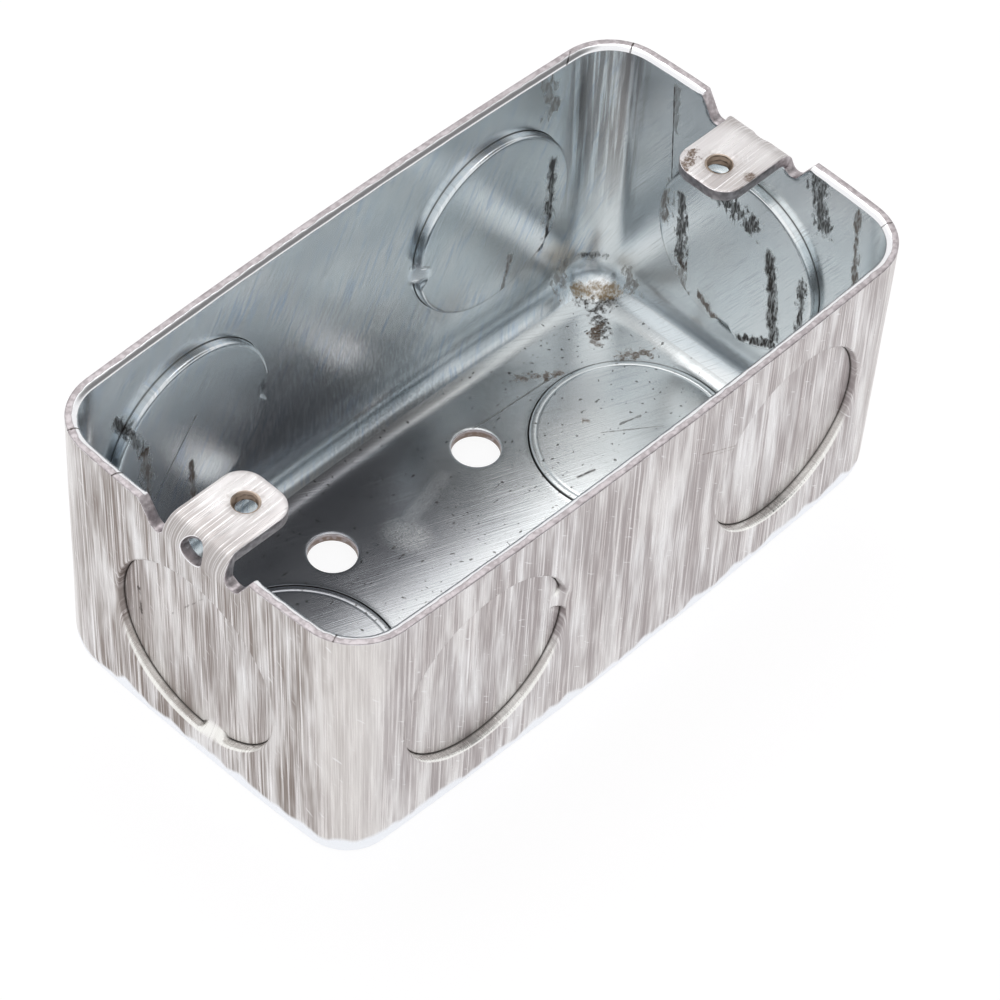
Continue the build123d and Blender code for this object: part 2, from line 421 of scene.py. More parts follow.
# Ring by ring: distance outside the shear, depth into the box, and whether it is the crack
OUTSIDE_STEPS = (
    (1.6, 0, 0), (1.0, 0, 0), (0.62, 0, 0), (0.42, 0.02, 0), (0.26, 0.08, 0), (0.12, 0.2, 0),
    (0.03, 0.4, 0), (0, 0.62, 0), (0, 1.0, 0.2), (0, 1.34, 0.8), (-0.02, 1.55, 1), (-0.08, 1.55, 1),
    (-0.14, 1.4, 0.6), (-0.4, 1.4, 0.1), (-0.9, 1.4, 0), (-1.7, 1.4, 0), (-3.0, 1.4, 0),
)
INSIDE_STEPS = (
    (1.6, 0, 0), (1.0, 0, 0), (0.5, 0, 0), (0.2, 0, 0.1), (0.1, 0, 0.6), (0.08, -0.15, 1),
    (0.02, -0.15, 1), (0, 0.05, 0.6), (0, 0.5, 0.1), (-0.01, 0.92, 0), (-0.07, 1.14, 0),
    (-0.19, 1.3, 0), (-0.36, 1.38, 0), (-0.6, 1.4, 0), (-1.0, 1.4, 0), (-1.7, 1.4, 0), (-3.0, 1.4, 0),
)


def ring_angles(tie_angle):
    """Angles round a knockout, close together near its tie."""
    first, last = NEAR_TIE_DEGREES + 1, 359 - NEAR_TIE_DEGREES
    away = np.linspace(math.radians(first), math.radians(last), AWAY_POINTS)
    limit = math.radians(NEAR_TIE_DEGREES)
    near = np.linspace(-limit, limit, NEAR_TIE_POINTS)
    return tie_angle + np.concatenate((near, away))


def tied_share(angles, tie_angle):
    """1 on the tie and 0 away from it, rising evenly across the tie's edges."""
    off_tie = np.abs(np.mod(angles - tie_angle + math.pi, 2 * math.pi) - math.pi)
    return np.clip((TIE_HALF_ANGLE + TIE_EDGE - off_tie) / (2 * TIE_EDGE), 0, 1)


def ring_stack(radius, steps, angles, tie_angle):
    """Radius, depth and crack mark of every ring at every angle."""
    tied = tied_share(angles, tie_angle)
    tied = tied * tied * (3 - 2 * tied)
    rows = []
    for number, (outside, depth, crack) in enumerate(steps):
        share = number / (len(steps) - 1)
        ramp = np.clip((share - RAMP_START) / RAMP_RUN, 0, 1)
        ramp_radius = KNOCKOUT_SPREAD - share * (KNOCKOUT_SPREAD + KNOCKOUT_FILL)
        ramp_depth = knockout_push * ramp * ramp * (3 - 2 * ramp)
        ring_radius = radius + outside + (ramp_radius - outside) * tied
        rows.append((ring_radius, depth + (ramp_depth - depth) * tied, crack * (1 - tied)))
    return rows


print("rings of a knockout, outside and inside:", len(OUTSIDE_STEPS), len(INSIDE_STEPS))


# %% [markdown]
# A knockout is laid out on the wall's own axes, along it and up, and carried to the chart. The
# middle of its disc is left for the Delaunay fill.

# %% Lay a knockout on the chart
def around_on_side(along):
    """How far round from a long wall's middle a place along it lies."""
    reach = rim_points[:, 0][rim_around < girth / 4]
    run = rim_around[rim_around < girth / 4]
    return np.sign(along) * np.interp(np.abs(along), reach, run)


def around_on_end(along):
    """How far round from an end wall's middle a place along it lies."""
    section = (rim_around > girth / 8) & (rim_around < girth / 4)
    reach = rim_points[section, 1][::-1]
    run = girth / 4 - rim_around[section][::-1]
    return np.sign(along) * np.interp(np.abs(along), reach, run)


def wall_chart(wall, along, level):
    """The chart place of a point on a wall, given along the wall and by its height."""
    if wall == "+Y":
        around = girth + around_on_side(along)
    elif wall == "-Y":
        around = girth / 2 - around_on_side(along)
    elif wall == "+X":
        around = 1.25 * girth - around_on_end(along)
    else:
        around = 0.75 * girth + around_on_end(along)
    return around, (height - level) / math.cos(lean)


# Wall, place along it, height, tie angle seen from outside
WALL_KNOCKOUTS = (
    ("-Y", -side_knockout_x, side_knockout_height, 9.0),
    ("-Y", side_knockout_x, side_knockout_height, 180.0),
    ("+Y", -side_knockout_x, side_knockout_height, 183.0),
    ("+Y", side_knockout_x, side_knockout_height, -3.0),
    ("-X", 0.0, end_knockout_height, -79.0),
    ("+X", 0.0, end_knockout_height, -87.0),
)
RIGHT_FROM_OUTSIDE = {"-Y": 1, "+Y": -1, "-X": -1, "+X": 1}


def wall_knockout(wall, along, level, tie_degrees, inside):
    """Adds one knockout's rings and disc to one face; gives its outermost ring and flat places."""
    tie_angle = math.radians(tie_degrees)
    angles = ring_angles(tie_angle)
    finish = "plated_inside" if inside else "drawn_outside"
    steps = INSIDE_STEPS if inside else OUTSIDE_STEPS
    rows = []
    for radius, depth, crack in ring_stack(knockout_diameter / 2, steps, angles, tie_angle):
        place_along = along + RIGHT_FROM_OUTSIDE[wall] * radius * np.cos(angles)
        around, down = wall_chart(wall, place_along, level + radius * np.sin(angles))
        place = sheet_point(around, down, depth + (sheet if inside else 0))
        rows.append((sheet_mesh.add(place, np.column_stack((around, down)), 0, crack), around, down))
    for (row, *_), (other, *_) in zip(rows, rows[1:]):
        sheet_mesh.strip(row, other, finish)
    inner_ring = rows[-1]
    fill_radius = knockout_diameter / 2 - KNOCKOUT_FILL - DISC_MARGIN
    grid = np.arange(-fill_radius, fill_radius + 0.1, DISC_STEP)
    across, up = (axis.ravel() for axis in np.meshgrid(grid, grid))
    inside_disc = np.hypot(across, up) < fill_radius
    across, up = across[inside_disc], up[inside_disc]
    around, down = wall_chart(wall, along + across, level + up)
    disc_depth = knockout_push + (sheet if inside else 0)
    place = sheet_point(around, down, np.full(len(across), disc_depth))
    middle = sheet_mesh.add(place, np.column_stack((around, down)))
    numbers = np.concatenate((inner_ring[0], middle))
    all_around = np.concatenate((inner_ring[1], around))
    all_down = np.concatenate((inner_ring[2], down))
    flat = np.column_stack((all_around, all_down))
    sheet_mesh.fill(numbers, flat, [np.arange(len(inner_ring[0]))], [], finish)
    return rows[0]


knockout_rings = {
    inside: [wall_knockout(*knockout, inside) for knockout in WALL_KNOCKOUTS] for inside in (False, True)
}
print("points in the wall knockouts:", sheet_mesh.count)

# %% [markdown]
# ## The rim, its notches and the ears
# The cut edge of the sheet is one closed line on the chart. It runs along the rim, dips into a
# notch at each side of an ear, and goes out round the ear's tongue. The wide notch comes first
# at both ends, because the box is the same when it is turned half round.

# %% Draw the cut edge on the chart
device_screw_spacing = mounts["device_screws"]["spacing_x_mm"]
device_hole_radius = mounts["device_screws"]["hole_r_mm"]
ear_width = 9.8
ear_tip_beyond_hole = 4.2
ear_tip_radius = 3.3
ear_length = fold_run + fold_centre_x - device_screw_spacing / 2 + ear_tip_beyond_hole
ear_hole_beyond = fold_run + fold_centre_x - device_screw_spacing / 2
fold_hole_middle = 0.295
fold_hole_half_run = 1.545
fold_hole_half_width = 1.8
notch_depth = 3.5
wide_notch = {"shift": 0.8, "radius": 1.3, "mouth": 1.6}
narrow_notch = {"shift": 0.0, "radius": 1.1, "mouth": 1.8}
RIM_STEP = 0.8


def down_at(level):
    """Chart depth of a height on an ear's root: the wall below the fold, the fold above it."""
    if level <= fold_start:
        return (height - level) / math.cos(lean)
    turn = math.asin(min(1.0, (level - fold_start) / fold_outer_radius))
    return fold_depth - turn / (math.pi / 2) * fold_run


def notch_line(shift, radius, mouth):
    """From a notch's mouth on the rim, round its bottom, to the ear's root: across and down."""
    middle = ear_width / 2 + shift + radius
    centre_level = height - notch_depth + radius
    mouth_across = middle + radius + mouth
    to_mouth = math.hypot(mouth_across - middle, height - centre_level)
    touch = math.atan2(height - centre_level, mouth_across - middle) - math.acos(radius / to_mouth)
    line = []
    touch_across = middle + radius * math.cos(touch)
    touch_level = centre_level + radius * math.sin(touch)
    for share in np.linspace(0, 1, 7)[:-1]:
        across = mouth_across + share * (touch_across - mouth_across)
        line.append((across, (height - (height + share * (touch_level - height))) / math.cos(lean)))
    turned = touch + 2 * math.pi
    for angle in np.linspace(turned, math.pi, 13):
        across = middle + radius * math.cos(angle)
        level = centre_level + radius * math.sin(angle)
        on_wall = across > middle
        line.append((across, (height - level) / math.cos(lean) if on_wall else down_at(level)))
    return line


def ear_side_line(shift):
    """From the notch up the fold and along the tongue to the tip's middle: across and down."""
    line = []
    for degrees in (30, 42, 54, 66, 78, 90):
        turn = math.radians(degrees)
        line.append((ear_width / 2 + shift * math.cos(turn), fold_depth - degrees / 90 * fold_run))
    tip_start = ear_length - ear_tip_radius
    for beyond in np.linspace(fold_run, tip_start, 16)[1:-1]:
        line.append((ear_width / 2, fold_depth - beyond))
    for angle in np.linspace(0, math.pi / 2, 11):
        across = ear_width / 2 - ear_tip_radius * (1 - math.cos(angle))
        line.append((across, fold_depth - tip_start - ear_tip_radius * math.sin(angle)))
    return line


def end_line():
    """The cut edge at one end, as places round from its middle and down."""
    wide = notch_line(**wide_notch) + ear_side_line(wide_notch["shift"])
    wide = [(-across, down) for across, down in wide]
    narrow = notch_line(**narrow_notch) + ear_side_line(narrow_notch["shift"])
    tip_half = ear_width / 2 - ear_tip_radius
    tip = [(across, fold_depth - ear_length) for across in np.linspace(-tip_half, tip_half, 9)[1:-1]]
    return wide + tip + narrow[::-1]


end_middles = (0.75 * girth, 1.25 * girth)
seam_around = rim_around[np.argmin(np.abs(rim_out[:, 0] + rim_out[:, 1]) + 9 * (rim_out[:, 0] < 0))]
end_shape = np.array(end_line())
edge_line = []
edge_is_rim = []
position = seam_around
for middle in end_middles:
    mouth = middle + end_shape[0, 0]
    run = np.linspace(position, mouth, int((mouth - position) / RIM_STEP))
    run = run[:-1] if position == seam_around else run[1:-1]
    edge_line.extend((around, 0.0) for around in run)
    edge_is_rim.extend([1.0] * len(run))
    edge_line.extend((middle + across, down) for across, down in end_shape)
    edge_is_rim.extend([0.5] + [0.0] * (len(end_shape) - 2) + [0.5])
    position = middle + end_shape[-1, 0]
run = np.linspace(position, seam_around + girth, int((seam_around + girth - position) / RIM_STEP))
edge_line.extend((around, 0.0) for around in run[1:])
edge_is_rim.extend([1.0] * (len(run) - 1))
edge_line = np.array(edge_line)
edge_is_rim = np.array(edge_is_rim)
print("points on the cut edge:", len(edge_line))

# %% [markdown]
# ## The two faces of the walls
# Both faces use the same flat layout: a row of stations round the box, rows of points down the
# profile, closer where the sheet bends, and a finer grid on the ears. Points that fall too near
# an edge or a ring are left out, and the Delaunay fill joins the rest.

# %% Lay out the stations and rows
WALL_STEP = 1.7
CORNER_STEP = 0.9
EAR_STEP = 0.62
RING_CLEARANCE = 0.4
LINE_CLEARANCE = 0.33
SMALL_RING = 3.0
EAR_ZONE = 11.0
EAR_GRID_HALF = 10.4


def stations():
    """Places round the box for the wall's columns, closer together where the outline turns."""
    turn = np.unwrap(np.arctan2(rim_out[:, 1], rim_out[:, 0]))
    bend = np.abs(np.gradient(turn, rim_around))
    step = np.where(bend > 0.5 / corner_radius, CORNER_STEP, WALL_STEP)
    counted = np.concatenate(([0], np.cumsum(np.diff(rim_around) / step[1:])))
    seam_count = np.interp(seam_around, rim_around, counted)
    total = int(round(counted[-1]))
    wanted = seam_count + np.arange(total + 1) * counted[-1] / total
    wrapped = np.mod(wanted, counted[-1])
    around = np.interp(wrapped, counted, rim_around)
    around[np.arange(total + 1) * counted[-1] / total + seam_count >= counted[-1]] += girth
    around[0], around[-1] = seam_around, seam_around + girth
    print("widest and narrowest column:", np.diff(around).max().round(2), np.diff(around).min().round(2))
    return around


columns = stations()
wall_rows = np.concatenate((
    [0.55, 1.15, 1.9, 2.8],
    np.arange(4.0, straight_run - 1.2, 2.0),
    np.linspace(straight_run - 0.6, chart_depth, 11),
))
wall_grid = np.array([(around, down) for down in wall_rows[:-1] for around in columns[1:-1]])
to_end = np.mod(wall_grid[:, 0] + girth / 4, girth / 2)
to_end = np.minimum(to_end, girth / 2 - to_end)
notch_zone = (to_end < EAR_ZONE) & (wall_grid[:, 1] < notch_depth + 0.5)
wall_grid = wall_grid[~notch_zone]
ear_grid = []
for middle in end_middles:
    for across in np.arange(-EAR_GRID_HALF, EAR_GRID_HALF + 0.1, EAR_STEP):
        for down in np.arange(fold_depth - ear_length, notch_depth + 0.6, EAR_STEP):
            if abs(across) < ear_width / 2 + 0.9 or down > 0.4:
                ear_grid.append((middle + across, down))
wall_grid = np.concatenate((wall_grid, ear_grid))
print("stations round:", len(columns), " grid points:", len(wall_grid))

# %% [markdown]
# Four holes go through the ears: a tapped one in each tongue and a punched one in each fold.
# All are ellipses on the chart, and both faces share them.

# %% Put the ears' holes on the chart
EAR_HOLE_POINTS = 56


def chart_ellipse(middle, beyond, half_run, half_width):
    """Closed line round a hole on an ear."""
    angles = np.linspace(0, 2 * math.pi, EAR_HOLE_POINTS, endpoint=False)
    return np.column_stack((
        middle + half_width * np.cos(angles),
        fold_depth - beyond - half_run * np.sin(angles),
    ))


EDGE_ROUND = 0.12
ear_holes = []
for middle in end_middles:
    mouth_radius = device_hole_radius + EDGE_ROUND
    ear_holes.append(chart_ellipse(middle, ear_hole_beyond, mouth_radius, mouth_radius))
    ear_holes.append(chart_ellipse(
        middle, fold_hole_middle, fold_hole_half_run + EDGE_ROUND, fold_hole_half_width + EDGE_ROUND
    ))
print("holes in the ears:", len(ear_holes))


# %% Fill both faces of the walls
def wall_face(inside):
    """Adds one face of the walls and ears; gives the numbers of its edge, holes and bottom row."""
    rings = knockout_rings[inside]
    ring_charts = [np.column_stack((around, down)) for _, around, down in rings]
    bottom = np.column_stack((columns, np.full(len(columns), chart_depth)))
    side_rows = wall_rows[:-1]
    right = np.column_stack((np.full(len(side_rows), seam_around + girth), side_rows))
    left = np.column_stack((np.full(len(side_rows), seam_around), side_rows[::-1]))
    border = np.concatenate((edge_line, right, bottom[::-1], left))
    grid = wall_grid
    for ring in ring_charts + ear_holes:
        centre = (ring.min(axis=0) + ring.max(axis=0)) / 2
        reach = np.linalg.norm(ring - centre, axis=1).max()
        if reach > SMALL_RING:
            grid = grid[np.linalg.norm(grid - centre, axis=1) > reach + RING_CLEARANCE]
    lines = np.concatenate([border] + ring_charts + ear_holes)
    grid = clear_of(grid, lines, LINE_CLEARANCE)
    for hole in ear_holes:
        centre = hole.mean(axis=0)
        half = np.abs(hole - centre).max(axis=0)
        grid = grid[(((grid - centre) / half) ** 2).sum(axis=1) > 1.0]
    depth = sheet if inside else 0.0
    finish = "plated_inside" if inside else "drawn_outside"
    own = np.concatenate([border, grid] + ear_holes)
    numbers = sheet_mesh.add(sheet_point(own[:, 0], own[:, 1], np.full(len(own), depth)), own)
    hole_numbers = []
    start = len(border) + len(grid)
    for hole in ear_holes:
        hole_numbers.append(numbers[start : start + len(hole)])
        start += len(hole)
    all_numbers = np.concatenate([numbers] + [ring[0] for ring in rings])
    flat = np.concatenate([own] + ring_charts)
    loops = [np.arange(len(border))]
    first = len(border) + len(grid)
    for size in [len(hole) for hole in ear_holes] + [len(ring) for ring in ring_charts]:
        loops.append(np.arange(first, first + size))
        first += size
    made = sheet_mesh.fill(all_numbers, flat, loops, loops[1:], finish)
    count = len(edge_line)
    bottom_start = count + len(right)
    bottom_row = numbers[bottom_start : bottom_start + len(bottom)][::-1]
    print("inside" if inside else "outside", "face:", len(all_numbers), "points,", made, "triangles")
    return numbers[:count], hole_numbers, bottom_row


wall_faces = {inside: wall_face(inside) for inside in (False, True)}

# %% [markdown]
# ## The cut edge
# Shears leave an edge in two bands: a torn, dull band on the outer half, and a bevel on the inner
# half where the trimming die pressed. The band's border wanders, so the strip between the two
# faces has several rows, and a noise moves them across the sheet.

# %% Join the two faces along the cut edge
# Row by row: share of the way across the sheet, depth below the edge on the rim and on the
# ears, and how far it is torn
EDGE_ROWS = (
    (0.0, 0.09, 0.1, 1), (0.03, 0.03, 0.03, 1), (0.09, 0, 0, 1), (0.25, 0, 0, 1), (0.42, 0, 0, 1),
    (0.55, 0.02, 0, 0.4), (0.66, 0.09, 0, 0), (0.78, 0.19, 0, 0), (0.9, 0.33, 0.02, 0),
    (0.97, 0.44, 0.06, 0), (1.0, 0.56, 0.14, 0),
)
BAND_WANDER = 0.10
BAND_RAGGED = 0.05
EAR_EDGE_TORN = 0.75


def sheet_mesh_place(numbers):
    """Places of numbered points."""
    return np.concatenate(sheet_mesh.places)[numbers]


def move_points(numbers, place):
    """Gives numbered points new places."""
    joined = np.concatenate(sheet_mesh.places)
    joined[numbers] = place
    sheet_mesh.places = [joined]


def into_sheet(line):
    """Unit direction from the cut edge into the sheet, in space, at each point of a line."""
    ahead = np.roll(line, -1, axis=0) - np.roll(line, 1, axis=0)
    ahead[0], ahead[-1] = line[1] - line[0], line[-1] - line[-2]
    inward = np.column_stack((-ahead[:, 1], ahead[:, 0]))
    inward /= np.linalg.norm(inward, axis=1, keepdims=True)
    small = 0.01
    here, normal = on_sheet(line[:, 0], line[:, 1])
    there, _ = on_sheet(line[:, 0] + inward[:, 0] * small, line[:, 1] + inward[:, 1] * small)
    direction = there - here
    return direction / np.linalg.norm(direction, axis=1, keepdims=True), normal


def edge_strip():
    """Builds the rows of the cut edge between the two faces."""
    inward, normal = into_sheet(edge_line)
    outer = sheet_mesh_place(wall_faces[False][0])
    rows = []
    rim = edge_is_rim
    spots = [Vector(point) for point in outer.round(4).tolist()]
    wander = np.array([noise.noise(spot * 0.55) for spot in spots])
    ragged = np.array([noise.noise(spot * 1.9) for spot in spots])
    for share, rim_depth, ear_depth, torn in EDGE_ROWS:
        shift = (BAND_WANDER * wander + BAND_RAGGED * ragged) * math.sin(math.pi * share) * rim
        depth = rim_depth * rim + ear_depth * (1 - rim)
        across = np.clip(share + shift, 0, 1)
        place = outer - normal * (across * sheet)[:, None] + inward * depth[:, None]
        mark = np.maximum(torn, EAR_EDGE_TORN * (1 - rim))
        rows.append(sheet_mesh.add(place, edge_line, mark, 0))
    for row, other in zip(rows, rows[1:]):
        sheet_mesh.strip(row, other, "cut_edge", closed=False)
    return rows[0], rows[-1]


first_row, last_row = edge_strip()
move_points(wall_faces[False][0], sheet_mesh_place(first_row))
move_points(wall_faces[True][0], sheet_mesh_place(last_row))
print("rows across the cut edge:", len(EDGE_ROWS))

# %% [markdown]
# ## Tapped and punched holes
# The tongue's holes are tapped for a number 6 screw, 32 threads to the inch. A triangle wave that
# winds once round for each pitch down the hole is the thread. The fold's holes are plain.

# %% Cut the threads and line the holes
thread_pitch = 25.4 / 32
thread_depth = 0.36
thread_lead = 0.09
THREAD_ROWS = 19
PLAIN_SHARES = (0, 0.06, 0.14, 0.5, 0.86, 0.94, 1)
BORE_TORN = 0.6
# Groove mark in the walls of the holes: a little dirt and painted shade
BORE_DIRT_AND_SHADE = 0.3


def hole_rows(outer_row, inner_row, threaded):
    """Joins a hole's mouths through the sheet, with or without a thread."""
    top, bottom = sheet_mesh_place(outer_row), sheet_mesh_place(inner_row)
    shares = np.linspace(0, 1, THREAD_ROWS) if threaded else np.array(PLAIN_SHARES)
    angles = np.linspace(0, 2 * math.pi, len(outer_row), endpoint=False)
    centre_top, centre_bottom = top.mean(axis=0), bottom.mean(axis=0)
    chart = np.concatenate(sheet_mesh.charts)[outer_row]
    rows = []
    for share in shares:
        line = top + (bottom - top) * share
        centre = centre_top + (centre_bottom - centre_top) * share
        away = line - centre
        reach = np.linalg.norm(away, axis=1)
        lead = min(1.0, min(share, 1 - share) / thread_lead)
        cut = EDGE_ROUND * math.sin(lead * math.pi / 2)
        if threaded:
            phase = np.mod(share * sheet / thread_pitch + angles / (2 * math.pi), 1)
            cut = cut + thread_depth * (1 - np.abs(2 * phase - 1)) * lead
        place = centre + away * ((reach - cut) / reach)[:, None]
        within = share not in (0, 1)
        rows.append(sheet_mesh.add(place, chart, BORE_TORN * within, BORE_DIRT_AND_SHADE * within))
    for row, other in zip(rows, rows[1:]):
        sheet_mesh.strip(row, other, "cut_edge")


for number in range(len(ear_holes)):
    hole_rows(wall_faces[False][1][number], wall_faces[True][1][number], threaded=number % 2 == 0)
print("thread pitch, mm:", round(thread_pitch, 3))

# %% [markdown]
# ## The floor
# The floor and the lower part of the base round are one height field over the plan: how high the
# sheet lies depends only on how far in from the outline a point is. Two knockouts and four screw
# holes go into it. They were struck back almost flush after shearing, so each shows as a fine
# dark line with a rolled ring inside it.

# %% Height of the floor
def plan_inset(plan):
    """How far in from the rim's outline a point of the plan lies."""
    found = np.empty(len(plan))
    line = rim_points[::3]
    for start in range(0, len(plan), 1500):
        block = plan[start : start + 1500]
        found[start : start + 1500] = np.linalg.norm(block[:, None] - line[None], axis=2).min(axis=1)
    return found


def floor_point(plan, inside, raised):
    """A point of the floor's lower or upper face, raised by some amount."""
    radius = base_radius - sheet if inside else base_radius
    inset = plan_inset(plan)
    out_from_centre = np.clip(fillet_centre - inset, 0, radius)
    level = base_radius - np.sqrt(radius**2 - out_from_centre**2)
    place = np.column_stack((plan, level))
    settled = np.clip(inset / fillet_centre - 0.7, 0, 0.3) / 0.3
    lift = wave(place) * (settled if inside else 0 * settled)
    place[:, 2] += lift + raised
    return place


print("the floor's flat part starts", round(fillet_centre, 2), "mm in from the rim")

# %% Lay out the floor's knockouts and screw holes
floor_knockout_diameter = 28.1
# Place along, place across, tie angle from above, push of the disc
FLOOR_KNOCKOUTS = ((-30.4, 2.1, -90.0, 0.06), (29.8, -0.4, -60.0, 0.3))
mounting_hole_radius = mounts["floor_screws"]["hole_r_mm"]
hole_spacing_x = mounts["floor_screws"]["spacing_x_mm"]
hole_spacing_y = mounts["floor_screws"]["spacing_y_mm"]
# Ring by ring: distance outside the shear, height above the floor, and whether it is the crack
FLOOR_STEPS = (
    (0.9, 0, 0), (0.6, 0, 0), (0.35, 0.01, 0), (0.12, 0.03, 0.2), (0.05, -0.05, 0.8), (0.03, -0.5, 1),
    (-0.06, -0.5, 1), (-0.1, -0.16, 0.9), (-0.16, -0.08, 0.4), (-0.34, -0.02, 0), (-0.62, 0.0, 0),
    (-0.86, 0.0, 0.1), (-1.0, -0.05, 0.45), (-1.12, 0.0, 0.2), (-1.4, 0.0, 0), (-2.4, 0, 0), (-3.2, 0, 0),
)
BELOW_STEPS = (
    (0.9, 0, 0), (0.6, 0, 0), (0.25, 0.03, 0), (0.08, 0.12, 0.3), (0.04, 0.3, 1), (-0.04, 0.3, 1),
    (-0.1, 0.05, 0.4), (-0.3, 0, 0), (-0.8, 0, 0), (-1.8, 0, 0), (-3.2, 0, 0),
)
FLOOR_TIE_START = 0.9
FLOOR_TIE_RUN = 2.2


def floor_knockout(x, y, tie_degrees, push, inside):
    """Adds a floor knockout's rings and disc to one face; gives its outermost ring."""
    steps = FLOOR_STEPS if inside else BELOW_STEPS
    tie_angle = math.radians(tie_degrees)
    angles = ring_angles(tie_angle)
    tied = tied_share(angles, tie_angle)
    rows = []
    for number, (outside, lift, crack) in enumerate(steps):
        radius = floor_knockout_diameter / 2 + outside
        plan = np.column_stack((x + radius * np.cos(angles), y + radius * np.sin(angles)))
        on_disc = 1.0 if outside < -0.05 else 0.0
        slope = np.clip((FLOOR_TIE_START - outside) / FLOOR_TIE_RUN, 0, 1)
        raised = (lift + push * on_disc) * (1 - tied) + push * slope * tied
        place = floor_point(plan, inside, raised)
        rows.append((sheet_mesh.add(place, plan, 0, crack * (1 - tied)), plan))
    finish = "plated_floor" if inside else "underside"
    for (row, _), (other, _) in zip(rows, rows[1:]):
        sheet_mesh.strip(row, other, finish)
    last_numbers, last_plan = rows[-1]
    fill_radius = floor_knockout_diameter / 2 + steps[-1][0] - DISC_MARGIN
    grid = np.arange(-fill_radius, fill_radius + 0.1, DISC_STEP)
    spots = np.array([(x + a, y + b) for a in grid for b in grid if math.hypot(a, b) < fill_radius])
    middle = sheet_mesh.add(floor_point(spots, inside, np.full(len(spots), push)), spots)
    numbers = np.concatenate((last_numbers, middle))
    sheet_mesh.fill(numbers, np.concatenate((last_plan, spots)), [np.arange(len(last_plan))], [], finish)
    return rows[0]


print("floor knockouts:", len(FLOOR_KNOCKOUTS), " screw hole radius, mm:", mounting_hole_radius)

# %% Fill the floor and line its screw holes
FLOOR_STEP = 1.7
FLOOR_GRID_HALF = (43, 21)
FLOOR_SPACING = 0.55
FLOOR_CLEARANCE = 0.35
BEND_DEGREES = (63.5, 67.5, 71.5, 75, 78.5, 82, 85.5, 89)
HOLE_POINTS = 64
# Ring by ring round a mouth: distance outside the hole, how far the sheet rolls in
HOLE_RINGS = ((0.9, 0), (0.45, 0), (0.2, 0.015), (0.1, 0.05))
# Row by row through a hole: share of the sheet, distance outside the hole
HOLE_ROWS = ((0.06, 0.03), (0.12, 0), (0.5, 0), (0.88, 0), (0.94, 0.03))


def screw_hole_ring(x, y, reach):
    """Plan of a circle round a screw hole."""
    angles = np.linspace(0, 2 * math.pi, HOLE_POINTS, endpoint=False)
    radius = mounting_hole_radius + reach
    return np.column_stack((x + radius * np.cos(angles), y + radius * np.sin(angles)))


def floor_face(inside):
    """Adds one face of the floor; gives the rings at the screw holes' mouths."""
    finish = "plated_floor" if inside else "underside"
    bottom = wall_faces[inside][2]
    border_place = sheet_mesh_place(bottom)[:-1]
    border = border_place[:, :2]
    border_numbers = sheet_mesh.add(border_place, border)
    rings = [floor_knockout(*knockout, inside) for knockout in FLOOR_KNOCKOUTS]
    mouths = []
    for x in (-hole_spacing_x / 2, hole_spacing_x / 2):
        for y in (-hole_spacing_y / 2, hole_spacing_y / 2):
            rows = []
            for reach, drop in HOLE_RINGS:
                plan = screw_hole_ring(x, y, reach)
                lift = np.full(len(plan), -drop if inside else drop)
                rows.append((sheet_mesh.add(floor_point(plan, inside, lift), plan), plan))
            for (row, _), (other, _) in zip(rows, rows[1:]):
                sheet_mesh.strip(row, other, finish)
            rings.append(rows[0])
            mouths.append((rows[-1][0], x, y))
    bend = []
    for degrees in BEND_DEGREES:
        radius = base_radius - sheet if inside else base_radius
        inset = fillet_centre - radius * math.cos(math.radians(degrees))
        point, out = outline_at(columns[:-1])
        bend.extend((point - out * inset).tolist())
    lines = [np.arange(-half, half + 0.1, FLOOR_STEP) for half in FLOOR_GRID_HALF]
    grid = np.array([(x, y) for x in lines[0] for y in lines[1]])
    grid = grid[plan_inset(grid) > fillet_centre + 0.5]
    spots = thinned(np.concatenate((np.array(bend), grid)), FLOOR_SPACING)
    for ring_numbers, ring_plan in rings:
        centre = (ring_plan.min(axis=0) + ring_plan.max(axis=0)) / 2
        reach = np.linalg.norm(ring_plan[0] - centre)
        spots = spots[np.linalg.norm(spots - centre, axis=1) > reach + FLOOR_CLEARANCE]
    spots = clear_of(spots, border, FLOOR_CLEARANCE)
    spot_numbers = sheet_mesh.add(floor_point(spots, inside, np.zeros(len(spots))), spots)
    numbers = np.concatenate([border_numbers, spot_numbers] + [ring[0] for ring in rings])
    flat = np.concatenate([border, spots] + [ring[1] for ring in rings])
    loops = [np.arange(len(border))]
    first = len(border) + len(spots)
    for ring in rings:
        loops.append(np.arange(first, first + len(ring[0])))
        first += len(ring[0])
    made = sheet_mesh.fill(numbers, flat, loops, loops[1:], finish)
    print("floor", "inside" if inside else "below", len(numbers), "points,", made, "triangles")
    return mouths


floor_mouths = {inside: floor_face(inside) for inside in (False, True)}
for (below, x, y), (above, *_) in zip(floor_mouths[False], floor_mouths[True]):
    low, high = sheet_mesh_place(below), sheet_mesh_place(above)
    rows = [below]
    for share, reach in HOLE_ROWS:
        place = low + (high - low) * share
        plan = screw_hole_ring(x, y, reach)
        place[:, :2] = plan
        rows.append(sheet_mesh.add(place, plan, 0.7, 0.1))
    rows.append(above)
    for row, other in zip(rows, rows[1:]):
        sheet_mesh.strip(row, other, "cut_edge")
print("points in all:", sheet_mesh.count, " faces:", len(sheet_mesh.faces))

# %% [markdown]
# ## From points to a piece
# The rows become one mesh. Points that two parts share are merged, normals are made to point out
# of the metal, and edges sharper than a limit stay sharp, so torn edges catch the light while
# rolled ones flow. The chart goes into a UV map in centimetres, round and down on the walls and
# in plan on the floor, which is what the streaks of the finish follow.

# %% Make the mesh
SHARP_ANGLE = math.radians(38)
MERGE_DISTANCE = 0.002
CHART_UNIT = 10.0


